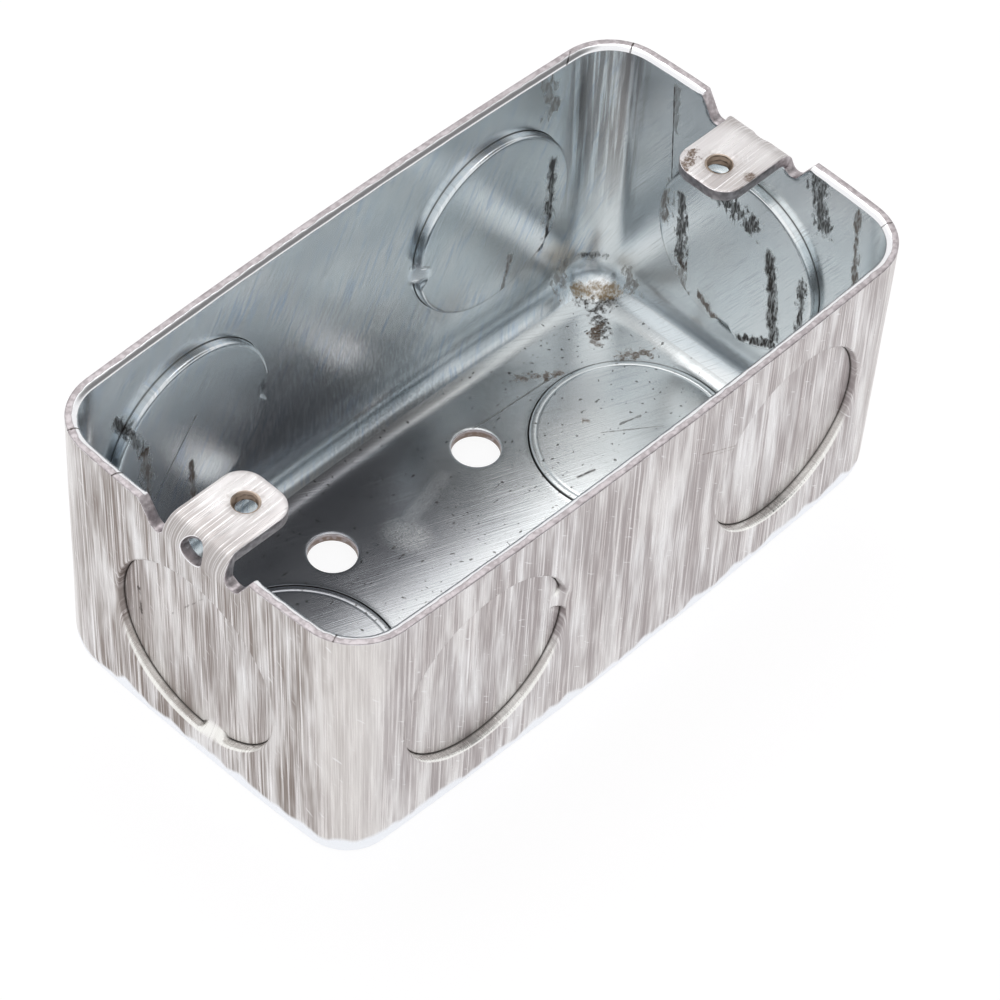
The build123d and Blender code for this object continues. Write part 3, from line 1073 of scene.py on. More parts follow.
def build_sheet():
    """Turns the collected rows into one object."""
    places = np.concatenate(sheet_mesh.places) * MM
    charts = np.concatenate(sheet_mesh.charts)
    data = bpy.data.meshes.new("drawn_sheet")
    data.from_pydata(places.tolist(), [], sheet_mesh.faces)
    for name, marks in (("torn", sheet_mesh.torn), ("groove", sheet_mesh.groove)):
        layer = data.attributes.new(name, "FLOAT", "POINT")
        layer.data.foreach_set("value", np.concatenate(marks).astype(np.float32))
    data.polygons.foreach_set("material_index", sheet_mesh.finish)
    corner_points = np.empty(len(data.loops), int)
    data.loops.foreach_get("vertex_index", corner_points)
    layer = data.uv_layers.new(name="around_and_down")
    layer.data.foreach_set("uv", (charts[corner_points] / CHART_UNIT).astype(np.float32).ravel())
    piece = bpy.data.objects.new("sheet_metal", data)
    bpy.context.scene.collection.objects.link(piece)
    return piece


def tidy_mesh(piece):
    """Merges shared points, makes all faces look outwards and keeps sharp edges sharp."""
    work = bmesh.new()
    work.from_mesh(piece.data)
    bmesh.ops.remove_doubles(work, verts=work.verts, dist=MERGE_DISTANCE * MM)
    bmesh.ops.recalc_face_normals(work, faces=work.faces)
    open_edges = [edge for edge in work.edges if len(edge.link_faces) != 2]
    volume = work.calc_volume(signed=True)
    if volume < 0:
        bmesh.ops.reverse_faces(work, faces=work.faces)
    work.to_mesh(piece.data)
    print("open edges:", len(open_edges), " volume, mm3:", round(abs(volume) / MM**3, 1))
    work.free()
    piece.data.shade_smooth()
    piece.data.set_sharp_from_angle(angle=SHARP_ANGLE)


sheet_metal = build_sheet()
tidy_mesh(sheet_metal)
triangles = sum(len(face.vertices) - 2 for face in sheet_metal.data.polygons)
print("triangles:", triangles)
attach(sheet_metal, "root")
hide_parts("drawn_box")

# %% [markdown]
# ## A helper for shaders
# World, table and metals are all node trees. This helper keeps their wiring readable: it makes a
# node, sets or links its inputs and hands back its output.

# %% A helper for wiring nodes
class Wiring:
    """Makes shader nodes in a tree and joins them."""

    def __init__(self, tree):
        self.nodes = tree.nodes
        self.links = tree.links

    def feed(self, socket, value):
        """Links an output to a socket, or sets the socket's own value."""
        if isinstance(value, bpy.types.NodeSocket):
            self.links.new(value, socket)
        elif value is not None:
            socket.default_value = value

    def math(self, operation, first, second=None, clamp=False):
        node = self.nodes.new("ShaderNodeMath")
        node.operation = operation
        node.use_clamp = clamp
        self.feed(node.inputs[0], first)
        self.feed(node.inputs[1], second)
        return node.outputs[0]

    def vector(self, operation, first, second=None, scale=None):
        node = self.nodes.new("ShaderNodeVectorMath")
        node.operation = operation
        self.feed(node.inputs[0], first)
        self.feed(node.inputs[1], second)
        if scale is not None:
            self.feed(node.inputs["Scale"], scale)
        gives_number = operation in ("LENGTH", "DISTANCE", "DOT_PRODUCT")
        return node.outputs["Value" if gives_number else "Vector"]

    def combine(self, x, y, z):
        node = self.nodes.new("ShaderNodeCombineXYZ")
        for socket, value in zip(node.inputs, (x, y, z)):
            self.feed(socket, value)
        return node.outputs[0]

    def split(self, vector):
        node = self.nodes.new("ShaderNodeSeparateXYZ")
        self.feed(node.inputs[0], vector)
        return node.outputs

    def noise(self, vector, scale=1.0, detail=3.0, roughness=0.55):
        node = self.nodes.new("ShaderNodeTexNoise")
        self.feed(node.inputs["Vector"], vector)
        self.feed(node.inputs["Scale"], scale)
        self.feed(node.inputs["Detail"], detail)
        self.feed(node.inputs["Roughness"], roughness)
        return node.outputs["Fac"]

    def between(self, value, low, high):
        """0 below low, 1 above high, smooth in between."""
        node = self.nodes.new("ShaderNodeMapRange")
        node.interpolation_type = "SMOOTHSTEP"
        self.feed(node.inputs["Value"], value)
        self.feed(node.inputs["From Min"], low)
        self.feed(node.inputs["From Max"], high)
        return node.outputs["Result"]

    def blend(self, share, first, second):
        """A colour between two colours."""
        node = self.nodes.new("ShaderNodeMix")
        node.data_type = "RGBA"
        self.feed(node.inputs["Factor"], share)
        for socket, value in ((node.inputs[6], first), (node.inputs[7], second)):
            self.feed(socket, (*value, 1.0) if isinstance(value, tuple) else value)
        return node.outputs[2]

    def mark(self, name):
        """A mark that the mesh carries."""
        node = self.nodes.new("ShaderNodeAttribute")
        node.attribute_name = name
        return node.outputs["Fac"]

    def chart(self):
        """Place on the chart, in centimetres round and down."""
        node = self.nodes.new("ShaderNodeUVMap")
        node.uv_map = "around_and_down"
        return node.outputs["UV"]

    def place(self):
        """Place on the box, in millimetres."""
        node = self.nodes.new("ShaderNodeTexCoord")
        return self.vector("SCALE", node.outputs["Object"], scale=1 / MM)

    def facing(self):
        """The way the surface faces, in the box's own frame."""
        return self.nodes.new("ShaderNodeTexCoord").outputs["Normal"]

    def group(self, tree, **values):
        """Places an effect with its own values and gives its mask."""
        node = self.nodes.new("ShaderNodeGroup")
        node.node_tree = tree
        for label, value in values.items():
            self.feed(node.inputs[label], value)
        return node.outputs[0]


# %% [markdown]
# ## Light and floor
# The photograph has a white ground and soft light from all round. Metal shows what surrounds it,
# so the world is white to the camera and to reflections, while the light that falls on dull
# surfaces is kept at a plain level. Only the sky at the front right is darker, so that polished
# bends show it as a dark line between bright ones. The floor is white and keeps a pale shadow.

# %% Set up the world, the lamp and the floor
WORLD_LIGHT = 0.55
DARK_SIDE = 0.82
DARK_TOWARDS = (0.50, -0.43, 0.75)
DARK_RANGE = (0.86, 0.98)
FLOOR_SIZE = 4.0
FLOOR_DROP = 0.0002
FLOOR_COLOUR = (0.80, 0.78, 0.80, 1)
FLOOR_GLOW = 0.72
GLOW_STRENGTH = 1.21
scene = bpy.context.scene
scene.view_settings.view_transform = "Standard"


def seen_directly(wire):
    """1 for rays from the camera, from gloss and through glass; and the gloss rays alone."""
    path = wire.nodes.new("ShaderNodeLightPath")
    seen = wire.math("MAXIMUM", path.outputs["Is Camera Ray"], path.outputs["Is Glossy Ray"])
    return wire.math("MAXIMUM", seen, path.outputs["Is Transmission Ray"]), path.outputs["Is Glossy Ray"]


def make_world():
    """White to what is seen directly, softer as a light, darker at the front right."""
    world = bpy.data.worlds.new("studio")
    scene.world = world
    world.use_nodes = True
    wire = Wiring(world.node_tree)
    seen, gloss = seen_directly(wire)
    level = wire.math("ADD", WORLD_LIGHT, wire.math("MULTIPLY", seen, 1 - WORLD_LIGHT))
    towards = tuple(Vector(DARK_TOWARDS).normalized())
    direction = wire.nodes.new("ShaderNodeTexCoord").outputs["Generated"]
    in_the_dark = wire.between(wire.vector("DOT_PRODUCT", direction, towards), *DARK_RANGE)
    darker = wire.math("MULTIPLY", wire.math("MULTIPLY", in_the_dark, gloss), DARK_SIDE)
    background = wire.nodes["Background"]
    background.inputs["Color"].default_value = (1, 1, 1, 1)
    strength = wire.math("MULTIPLY", level, wire.math("SUBTRACT", 1.0, darker))
    wire.feed(background.inputs["Strength"], strength)


def make_floor():
    """A white table that keeps a pale shadow."""
    half = FLOOR_SIZE / 2
    data = bpy.data.meshes.new("table")
    corners = [(-half, -half, 0), (half, -half, 0), (half, half, 0), (-half, half, 0)]
    data.from_pydata(corners, [], [(0, 1, 2, 3)])
    table = bpy.data.objects.new("table", data)
    table.location.z = -FLOOR_DROP
    scene.collection.objects.link(table)
    material = bpy.data.materials.new("table_white")
    material.use_nodes = True
    wire = Wiring(material.node_tree)
    dull = wire.nodes["Principled BSDF"]
    dull.inputs["Base Color"].default_value = FLOOR_COLOUR
    dull.inputs["Roughness"].default_value = 0.9
    glow = wire.nodes.new("ShaderNodeEmission")
    glow.inputs["Color"].default_value = (1, 1, 1, 1)
    glow.inputs["Strength"].default_value = GLOW_STRENGTH
    mix = wire.nodes.new("ShaderNodeMixShader")
    seen, _ = seen_directly(wire)
    wire.feed(mix.inputs[0], wire.math("MULTIPLY", seen, FLOOR_GLOW))
    wire.feed(mix.inputs[1], dull.outputs[0])
    wire.feed(mix.inputs[2], glow.outputs[0])
    wire.feed(wire.nodes["Material Output"].inputs["Surface"], mix.outputs[0])
    data.materials.append(material)


def soft_lamp(name, place, aim, size, power):
    """A square soft box that faces a point."""
    data = bpy.data.lights.new(name, "AREA")
    data.shape = "SQUARE"
    data.size = size
    data.energy = power
    lamp = bpy.data.objects.new(name, data)
    lamp.location = place
    lamp.rotation_mode = "QUATERNION"
    lamp.rotation_quaternion = (Vector(place) - Vector(aim)).to_track_quat("Z", "Y")
    scene.collection.objects.link(lamp)


make_world()
make_floor()
soft_lamp("top_box", (0.15, 0.25, 0.7), (0, 0, 0.02), 0.5, 0.9)
print("world, table and lamp are set")

# %% [markdown]
# ## How the finish is built
# Every part of the box is the same zinc plated steel, so every material is metal and differs in
# what the press, the shears and the years did to it, and in a few places in painted light and
# shade. Four effects do this, each a node group that gives only a mask: streaks that follow the
# drawing direction on the UV chart, clouds in the plating, fine brush lines, and smears laid
# between two points of the box, most of dirt and a few of painted highlight.
#
# The die drags grit down the wall, which leaves lines that are hair thin across and long down.
# A noise on the chart does the same when it is squeezed round the box and stretched down it.
# Clouds are slow blotches in space. Brush lines are fine and slanted, as the inside was wiped
# before plating. A smear is the distance to a short line on the box, made ragged by a noise. One
# axis is flattened, so that it does not matter how deep the wall or the pushed disc lies.

# %% Build the four effects
def effect(name, inputs):
    """An empty node group with named inputs and one mask as its output."""
    tree = bpy.data.node_groups.new(name, "ShaderNodeTree")
    for label, kind, value in inputs:
        socket = tree.interface.new_socket(label, in_out="INPUT", socket_type=f"NodeSocket{kind}")
        socket.default_value = value
    tree.interface.new_socket("Mask", in_out="OUTPUT", socket_type="NodeSocketFloat")
    source = tree.nodes.new("NodeGroupInput")
    result = tree.nodes.new("NodeGroupOutput")
    return tree, Wiring(tree), source.outputs, result.inputs["Mask"]


def cover_range(wire, given):
    """The noise levels between which a mask rises, for a share to cover."""
    middle = wire.math("SUBTRACT", 0.75, wire.math("MULTIPLY", given["Cover"], 0.5))
    return wire.math("SUBTRACT", middle, given["Softness"]), wire.math("ADD", middle, given["Softness"])


def build_streaks():
    """Long thin lines down the chart."""
    tree, wire, given, result = effect("drawing_streaks", (
        ("Lines", "Float", 30.0), ("Stretch", "Float", 0.5), ("Cover", "Float", 0.5),
        ("Softness", "Float", 0.12), ("Seed", "Float", 0.0), ("Slant", "Float", 0.0),
    ))
    u, v, _ = wire.split(wire.chart())
    across = wire.math("ADD", u, wire.math("MULTIPLY", v, given["Slant"]))
    across = wire.math("MULTIPLY", across, given["Lines"])
    down = wire.math("MULTIPLY", v, given["Stretch"])
    lines = wire.noise(wire.combine(across, down, given["Seed"]), 1.0, 3.0, 0.65)
    wire.feed(result, wire.between(lines, *cover_range(wire, given)))
    return tree


def build_clouds():
    """Slow blotches in space, of a size in millimetres."""
    tree, wire, given, result = effect("clouds", (
        ("Size", "Float", 10.0), ("Cover", "Float", 0.5),
        ("Softness", "Float", 0.15), ("Seed", "Float", 0.0),
    ))
    shifted = wire.vector("ADD", wire.place(), wire.combine(given["Seed"], 0.0, given["Seed"]))
    cloud = wire.noise(shifted, wire.math("DIVIDE", 1.0, given["Size"]), 2.0, 0.5)
    wire.feed(result, wire.between(cloud, *cover_range(wire, given)))
    return tree


def build_brush():
    """Fine lines at an angle to the chart."""
    tree, wire, given, result = effect("brush_lines", (
        ("Lines", "Float", 90.0), ("Angle", "Float", 0.35),
        ("Length", "Float", 2.2), ("Seed", "Float", 0.0),
    ))
    u, v, _ = wire.split(wire.chart())
    cosine = wire.math("COSINE", given["Angle"])
    sine = wire.math("SINE", given["Angle"])
    across = wire.math("ADD", wire.math("MULTIPLY", u, cosine), wire.math("MULTIPLY", v, sine))
    along = wire.math("SUBTRACT", wire.math("MULTIPLY", v, cosine), wire.math("MULTIPLY", u, sine))
    across = wire.math("MULTIPLY", across, given["Lines"])
    along = wire.math("MULTIPLY", along, given["Length"])
    wire.feed(result, wire.noise(wire.combine(across, along, given["Seed"]), 1.0, 2.0, 0.6))
    return tree


def build_smear():
    """1 near a line from a start along a vector, fading out at its width."""
    tree, wire, given, result = effect("smear", (
        ("Place", "Vector", (0, 0, 0)), ("Start", "Vector", (0, 0, 0)), ("Along", "Vector", (0, 0, 1)),
        ("Width", "Float", 1.0), ("Rough", "Float", 0.0),
    ))
    off = wire.vector("SUBTRACT", given["Place"], given["Start"])
    length = wire.vector("DOT_PRODUCT", given["Along"], given["Along"])
    share = wire.math("DIVIDE", wire.vector("DOT_PRODUCT", off, given["Along"]), length, clamp=True)
    apart = wire.vector("DISTANCE", off, wire.vector("SCALE", given["Along"], scale=share))
    reach = wire.math("ADD", apart, given["Rough"])
    full = wire.math("MULTIPLY", given["Width"], 0.3)
    gone = wire.math("MULTIPLY", given["Width"], 1.1)
    wire.feed(result, wire.between(reach, gone, full))
    return tree


STREAKS = build_streaks()
CLOUDS = build_clouds()
BRUSH = build_brush()
SMEAR = build_smear()
print("effects:", [tree.name for tree in (STREAKS, CLOUDS, BRUSH, SMEAR)])

# %% [markdown]
# ## Dirt, a dark cloud and painted highlights where they lie on this box
# The smears are listed one by one. Each line holds the axis to flatten, two ends in millimetres, a
# half width, how ragged it is, how dark, and the colour. The flattened axis counts little.

# %% List the smears
ON_SIDE = (1, 0.15, 1)
ON_END = (0.15, 1, 1)
ON_FLOOR = (1, 1, 0.15)
ALL_ROUND = (1, 1, 1)
BLACK = (0.045, 0.035, 0.03)
RUST = (0.15, 0.095, 0.06)
GOLD = (0.30, 0.20, 0.09)
SLATE = (0.13, 0.13, 0.15)
# Pale painted highlights, laid as smears
PAINTED_HIGHLIGHT = (0.98, 0.98, 0.98)
CORNER_SMEARS = (
    (ALL_ROUND, (44.0, 26.0, 7.2), (48.6, 21.4, 7.2), 0.8, 0.9, 0.9, BLACK),
    (ALL_ROUND, (42.2, 25.8, 6.6), (41.2, 25.2, 3.2), 1.9, 1.6, 0.5, RUST),
    (ALL_ROUND, (48.6, 18.6, 6.0), (48.0, 16.8, 4.6), 1.2, 1.8, 0.6, RUST),
    # Painted highlight low in the far corner, where the bend's bright roll starts
    (ALL_ROUND, (45.8, 23.4, 4.9), (46.4, 22.8, 4.9), 1.0, 0.7, 0.9, PAINTED_HIGHLIGHT),
    (ALL_ROUND, (43.1, 22.8, 3.0), (46.8, 19.0, 3.0), 1.3, 0.9, 0.85, GOLD),
    (ALL_ROUND, (42.4, 21.4, 2.4), (45.4, 18.2, 2.4), 0.9, 1.4, 0.9, BLACK),
    (ALL_ROUND, (43.4, 19.0, 2.0), (40.4, 15.8, 1.7), 1.3, 1.7, 0.9, BLACK),
    (ALL_ROUND, (41.0, 17.0, 1.7), (38.6, 15.2, 1.7), 0.9, 1.8, 0.7, RUST),
)
INSIDE_SMEARS = CORNER_SMEARS + (
    (ON_SIDE, (-12, 26, 17), (8, 26, 8), 14.0, 0.0, 0.45, SLATE),
    (ON_SIDE, (-9, 26, 13), (3, 26, 9), 9.0, 0.0, 0.5, SLATE),
    (ON_SIDE, (37.6, 24.5, 30), (37.2, 24.5, 13), 0.95, 1.1, 0.9, BLACK),
    (ON_SIDE, (30.3, 24.5, 17), (29.1, 24.5, 12), 0.7, 1.5, 0.7, RUST),
    (ON_SIDE, (-39, 25.6, 36), (-35.4, 25.6, 29), 0.9, 1.2, 0.85, BLACK),
    (ON_SIDE, (-35.4, 25.6, 29), (-35.0, 25.6, 20.5), 0.9, 1.5, 0.75, RUST),
    (ON_SIDE, (-27.4, 24.5, 20.5), (-27.2, 24.5, 11), 0.7, 1.2, 0.8, RUST),
    (ON_SIDE, (-26.6, 24.5, 28.6), (-34, 24.5, 19), 0.14, 0.4, 0.7, BLACK),
    (ON_SIDE, (36.8, 26, 44), (38.4, 26, 38), 1.3, 1.8, 0.6, RUST),
    (ON_END, (47.4, 12.9, 26.4), (47.4, 12.4, 21.6), 0.9, 1.6, 0.7, RUST),
    (ON_END, (47.4, 9.9, 27), (47.4, 8.8, 16), 1.15, 1.5, 0.85, BLACK),
    (ON_END, (47.4, 8.8, 16), (47.4, 7.9, 11), 0.9, 1.9, 0.55, RUST),
    (ON_END, (47.4, 4.9, 12.6), (47.4, 1.9, 10.2), 0.75, 1.5, 0.8, RUST),
    (ON_END, (47.4, -5.7, 27.6), (47.4, -8.0, 14.5), 1.15, 0.9, 0.95, BLACK),
    (ON_END, (47.4, -2.6, 10.2), (47.4, -8.0, 13.2), 0.85, 1.2, 0.95, BLACK),
    (ON_END, (47.4, -11.3, 27), (47.4, -11.9, 18.5), 0.75, 1.5, 0.9, BLACK),
    (ON_END, (48.8, 3.2, 32), (48.8, -1.5, 31), 1.8, 1.9, 0.9, BLACK),
    (ON_END, (48.8, -10.2, 44), (48.8, -12.3, 37), 1.5, 1.5, 0.85, BLACK),
    (ON_END, (48.8, -17.4, 43.6), (48.8, -18.6, 31), 0.6, 1.2, 0.8, RUST),
    (ON_END, (48.8, 14.4, 43), (48.8, 12.9, 26), 0.13, 0.3, 0.9, BLACK),
    (ON_END, (48.8, 14.0, 43), (48.8, 13.4, 36), 0.6, 1.4, 0.4, RUST),
)
FLOOR_SMEARS = CORNER_SMEARS + (
    (ON_FLOOR, (12, 15.6, 1.7), (30.7, 14.6, 1.7), 0.18, 1.0, 0.6, BLACK),
    (ON_FLOOR, (26.4, 17.6, 1.7), (31, 14.4, 1.7), 0.55, 2.2, 0.8, RUST),
    (ON_FLOOR, (39.4, 11, 1.7), (42.6, 8.9, 1.7), 0.8, 1.9, 0.8, RUST),
    (ON_FLOOR, (27, 6.2, 2), (27.3, 5.8, 2), 0.45, 0.9, 0.8, RUST),
    (ON_FLOOR, (19.2, -0.2, 2), (21.7, -0.8, 2), 0.26, 0.5, 0.9, BLACK),
    (ON_FLOOR, (30.2, 2.4, 2), (33.2, 1.6, 2), 0.18, 1.5, 0.7, BLACK),
    (ON_FLOOR, (27.2, 3.1, 2), (34, -1.7, 2), 0.12, 1.2, 0.6, BLACK),
    # Painted highlight: the bright spot of the lamp's reflection on the floor
    (ON_FLOOR, (-3.9, 8.0, 2), (-4.5, 8.9, 2), 3.4, 0.1, 0.45, PAINTED_HIGHLIGHT),
    (ON_FLOOR, (-3.6, 9.6, 2), (6.4, 12.2, 2), 1.5, 0.1, 0.25, PAINTED_HIGHLIGHT),
)
OUTSIDE_SMEARS = (
    (ON_END, (-50.3, 5.6, 24.7), (-50.3, -2.3, 35.6), 0.2, 0.9, 0.75, BLACK),
    (ON_END, (-50.3, 10.9, 25.2), (-50.3, 10.4, 19.6), 0.3, 1.9, 0.8, BLACK),
    (ON_SIDE, (9, -27.5, 36.8), (25.4, -27.5, 27.9), 0.12, 0.9, 0.5, RUST),
    (ON_SIDE, (11, -27.5, 35), (22, -27.5, 29.6), 0.09, 0.9, 0.4, RUST),
    (ON_FLOOR, (42.6, -4.2, 45), (43.4, -5.4, 45), 0.9, 1.0, 0.8, RUST),
    (ON_FLOOR, (40.9, 3.6, 45), (37.4, 2.6, 45), 0.8, 2.0, 0.85, RUST),
    (ON_FLOOR, (39.6, -4.9, 45), (41.2, -5.6, 45), 0.6, 1.9, 0.7, RUST),
    (ON_FLOOR, (41.7, 0, 45), (41.8, 0, 45), 2.8, 0.5, 0.35, RUST),
    (ON_FLOOR, (-41.7, 0, 45), (-41.8, 0, 45), 2.8, 0.5, 0.35, RUST),
)


# Noise is drawn out up and down the wall, as the dirt is
DRAWN_OUT = (1, 1, 0.45)
DRAWN_FAR_OUT = (1, 1, 0.22)


def lay_smears(wire, colour, smears):
    """Lays the smears over a colour, shade by shade; gives the new colour and how much is dirt."""
    place = wire.place()
    clots = wire.noise(wire.vector("MULTIPLY", place, DRAWN_OUT), 1.1, 3.0, 0.7)
    rough = wire.math("SUBTRACT", clots, 0.5)
    grain = wire.noise(wire.vector("MULTIPLY", place, DRAWN_FAR_OUT), 3.2, 1.0, 0.6)
    worn = wire.math("ADD", 0.6, wire.math("MULTIPLY", wire.between(grain, 0.36, 0.58), 0.4))
    flat_places = {}
    covers = {}
    for flatten, start, end, half_width, ragged, dark, shade in smears:
        if flatten not in flat_places:
            flat_places[flatten] = wire.vector("MULTIPLY", place, flatten)
        first = Vector(start) * Vector(flatten)
        along = Vector(end) * Vector(flatten) - first
        uneven = wire.math("MULTIPLY", rough, 3.0 * ragged * half_width) if ragged else 0.0
        ends = {"Start": tuple(first), "Along": tuple(along)}
        mask = wire.group(SMEAR, Place=flat_places[flatten], Width=half_width, Rough=uneven, **ends)
        share = wire.math("MULTIPLY", mask, dark)
        covers[shade] = wire.math("MAXIMUM", share, covers[shade]) if shade in covers else share
    dirt = 0.0
    for shade, share in covers.items():
        share = wire.math("MULTIPLY", share, worn)
        colour = wire.blend(share, colour, shade)
        # Painted highlights and the dark cloud leave the roughness alone
        if shade not in (PAINTED_HIGHLIGHT, SLATE):
            dirt = wire.math("MAXIMUM", share, dirt)
    return colour, dirt


smear_lists = (INSIDE_SMEARS, FLOOR_SMEARS, OUTSIDE_SMEARS)
print("smears inside, on the floor and outside:", [len(smears) for smears in smear_lists])

# %% [markdown]
# ## The metal
# Each finish ends in the same way: a colour, a roughness and a bump go into one metal shader.
# Dirt and painted shade in the sheared grooves come from a mark that the mesh carries. Layers
# of shade go over the plating one after the other, each through the product of its masks. In the
# masks, x, y and z are millimetres on the box, and u and v are centimetres on the chart.

# %% Finish a metal
GROOVE_DIRT_AND_SHADE = (0.06, 0.045, 0.035)
GROOVE_RANGE = (0.25, 0.95)


def metal(name, draw, bump_distance, groove_share=0.9):
    """A metal material whose colour, roughness and height a function draws."""
    material = bpy.data.materials.new(name)
    material.use_nodes = True
    wire = Wiring(material.node_tree)
    shader = wire.nodes["Principled BSDF"]
    colour, roughness, height_mask = draw(wire)
    # The sheared grooves are darkened: dirt in them, and painted shade for the narrow cracks
    groove_dirt_and_shade_share = wire.math("MULTIPLY", wire.between(wire.mark("groove"), *GROOVE_RANGE), groove_share)
    wire.feed(shader.inputs["Base Color"], wire.blend(groove_dirt_and_shade_share, colour, GROOVE_DIRT_AND_SHADE))
    rougher = wire.math("ADD", roughness, wire.math("MULTIPLY", groove_dirt_and_shade_share, 0.3), clamp=True)
    wire.feed(shader.inputs["Roughness"], rougher)
    shader.inputs["Metallic"].default_value = 1.0
    bump = wire.nodes.new("ShaderNodeBump")
    bump.inputs["Strength"].default_value = 1.0
    bump.inputs["Distance"].default_value = bump_distance * MM
    wire.feed(bump.inputs["Height"], height_mask)
    wire.feed(shader.inputs["Normal"], bump.outputs[0])
    sheet_metal.data.materials.append(material)


def layer(wire, colour, shade, *masks):
    """Lays a shade over a colour through the product of masks and plain shares."""
    share = masks[0]
    for mask in masks[1:]:
        share = wire.math("MULTIPLY", share, mask)
    return wire.blend(share, colour, shade)


# %% [markdown]
# ## Outside: drawn and scratched
# The walls are bright where the die burnished them and brown grey where grit and lubricant went
# down with the metal. The streaks come in patches, dense on the ends and thin on parts of the
# long sides, and the corners are smooth. The round at the base never slid through the die, so
# it is pale and a little blue. Sheared edges that face up are a little smoother, and a painted
# highlight makes them bright. The ears were the top of the wall before they were folded, so
# their lines run out to the tip.

# %% Draw the outside
PLATING_WARM = (0.90, 0.885, 0.88)
PLATING_WHITE = (0.98, 0.98, 0.99)
CORNER_GREY = (0.82, 0.79, 0.76)
HAIR_GREY = (0.64, 0.61, 0.60)
PATCH_GREY = (0.62, 0.57, 0.56)
BROAD_GREY = (0.42, 0.37, 0.365)
LINE_GREY = (0.33, 0.285, 0.29)
LINE_BROWN = (0.22, 0.175, 0.15)
SCRATCH_WHITE = (0.97, 0.97, 0.98)
BASE_BLUE = (0.90, 0.93, 0.98)
EAR_GREY = (0.74, 0.72, 0.72)
EAR_LINES = (0.32, 0.275, 0.26)
PAINTED_EDGE_HIGHLIGHT = (0.97, 0.965, 0.93)
BASE_BORDER = 3.5

# Lines to a centimetre, stretch, cover, softness, seed and slant, from patches to hair
OUTSIDE_STREAKS = (
    (3.4, 0.36, 0.55, 0.14, 5.0, 0.05),
    (8.0, 0.16, 0.50, 0.08, 8.0, 0.03),
    (38.0, 0.4, 0.56, 0.08, 1.0, 0.03),
    (95.0, 1.0, 0.55, 0.12, 9.0, 0.05),
)


def draw_outside(wire):
    """Colour, roughness and height of the drawn outside."""
    u, v, _ = wire.split(wire.chart())
    x, y, z = wire.split(wire.place())
    side = wire.math("ABSOLUTE", y)
    reach = wire.math("ABSOLUTE", x)
    at_end = wire.between(reach, 46.0, 50.0)
    at_corner = wire.math("MULTIPLY", wire.between(reach, 41.0, 47.0), wire.between(side, 18.0, 24.0))
    off_corner = wire.math("SUBTRACT", 1.0, wire.math("MULTIPLY", at_corner, 0.7))
    ear = wire.math("MULTIPLY", wire.between(v, 0.45, 0.2), wire.between(side, 7.6, 7.0))
    uneven = wire.noise(wire.combine(u, 0.0, 3.0), 1.6, 2.0)
    border = wire.math("ADD", BASE_BORDER, wire.math("MULTIPLY", uneven, 0.6))
    below = wire.between(v, border, wire.math("ADD", border, 0.1))
    above = wire.math("SUBTRACT", 1.0, below)
    labels = ("Lines", "Stretch", "Cover", "Softness", "Seed", "Slant")
    streaks = [wire.group(STREAKS, **dict(zip(labels, values))) for values in OUTSIDE_STREAKS]
    patches, broad, fine, hair = streaks
    scratch = wire.group(BRUSH, Lines=22.0, Angle=0.85, Length=3.0, Seed=14.0)
    scratched = wire.between(scratch, 0.66, 0.72)
    slow = wire.noise(wire.place(), 0.07, 1.0)
    strong = wire.math("ADD", 0.8, wire.math("MULTIPLY", at_end, 0.2))
    colour = wire.blend(wire.between(slow, 0.35, 0.65), PLATING_WARM, PLATING_WHITE)
    colour = layer(wire, colour, CORNER_GREY, at_corner, 0.7)
    colour = layer(wire, colour, HAIR_GREY, hair, 0.45)
    colour = layer(wire, colour, PATCH_GREY, patches, above, off_corner, 0.35)
    colour = layer(wire, colour, BROAD_GREY, broad, patches, above, off_corner, 0.55)
    fine_share = wire.math("ADD", 0.16, wire.math("MULTIPLY", patches, 0.72))
    fine_colour = wire.blend(at_end, LINE_GREY, LINE_BROWN)
    fine_mask = wire.math("MULTIPLY", wire.math("MULTIPLY", fine, fine_share), above)
    colour = layer(wire, colour, fine_colour, fine_mask, strong, off_corner)
    colour = layer(wire, colour, SCRATCH_WHITE, scratched, above, 0.5)
    colour = layer(wire, colour, BASE_BLUE, below, 0.9)
    colour = layer(wire, colour, EAR_GREY, ear, 0.7)
    colour = layer(wire, colour, EAR_LINES, ear, fine, wire.between(slow, 0.4, 0.6), 0.55)
    # Edges that face up get a painted highlight in their colour and are made a little smoother
    up = wire.split(wire.facing())[2]
    sheared = wire.math("MULTIPLY", wire.between(up, 0.25, 0.55), wire.between(v, 0.5, 0.7))
    colour = layer(wire, colour, PAINTED_EDGE_HIGHLIGHT, sheared, 0.85)
    colour, dirt = lay_smears(wire, colour, OUTSIDE_SMEARS)
    roughness = wire.math("ADD", 0.27, wire.math("MULTIPLY", fine_mask, 0.2))
    roughness = wire.math("ADD", roughness, wire.math("MULTIPLY", dirt, 0.3))
    roughness = wire.math("SUBTRACT", roughness, wire.math("MULTIPLY", sheared, 0.1))
    return colour, roughness, wire.math("SUBTRACT", 1.0, wire.math("MULTIPLY", fine, above))


metal("drawn_outside", draw_outside, 0.02, 0.75)

# %% [markdown]
# ## Inside: plated and stained
# The punch side stays smooth and bright. It is a cool grey with pale blue tints in slanted
# lines and a dark cloud on the far wall. The far end wall is painted lighter, and dark streaks
# painted down the far corner are a painted reflection of its wrinkles.

# %% Draw the inside
PLATING_COOL = (0.74, 0.80, 0.83)
PLATING_PALE = (0.84, 0.86, 0.87)
FAR_END_PAINTED_LIGHT = (0.95, 0.98, 0.99)
DULL_GREY = (0.52, 0.55, 0.58)
WIPED_BLUE = (0.50, 0.61, 0.76)
BRUSH_LIGHT = (0.95, 0.96, 0.97)
BRUSH_DARK = (0.48, 0.50, 0.52)
CORNER_PAINTED_REFLECTION = (0.27, 0.25, 0.245)


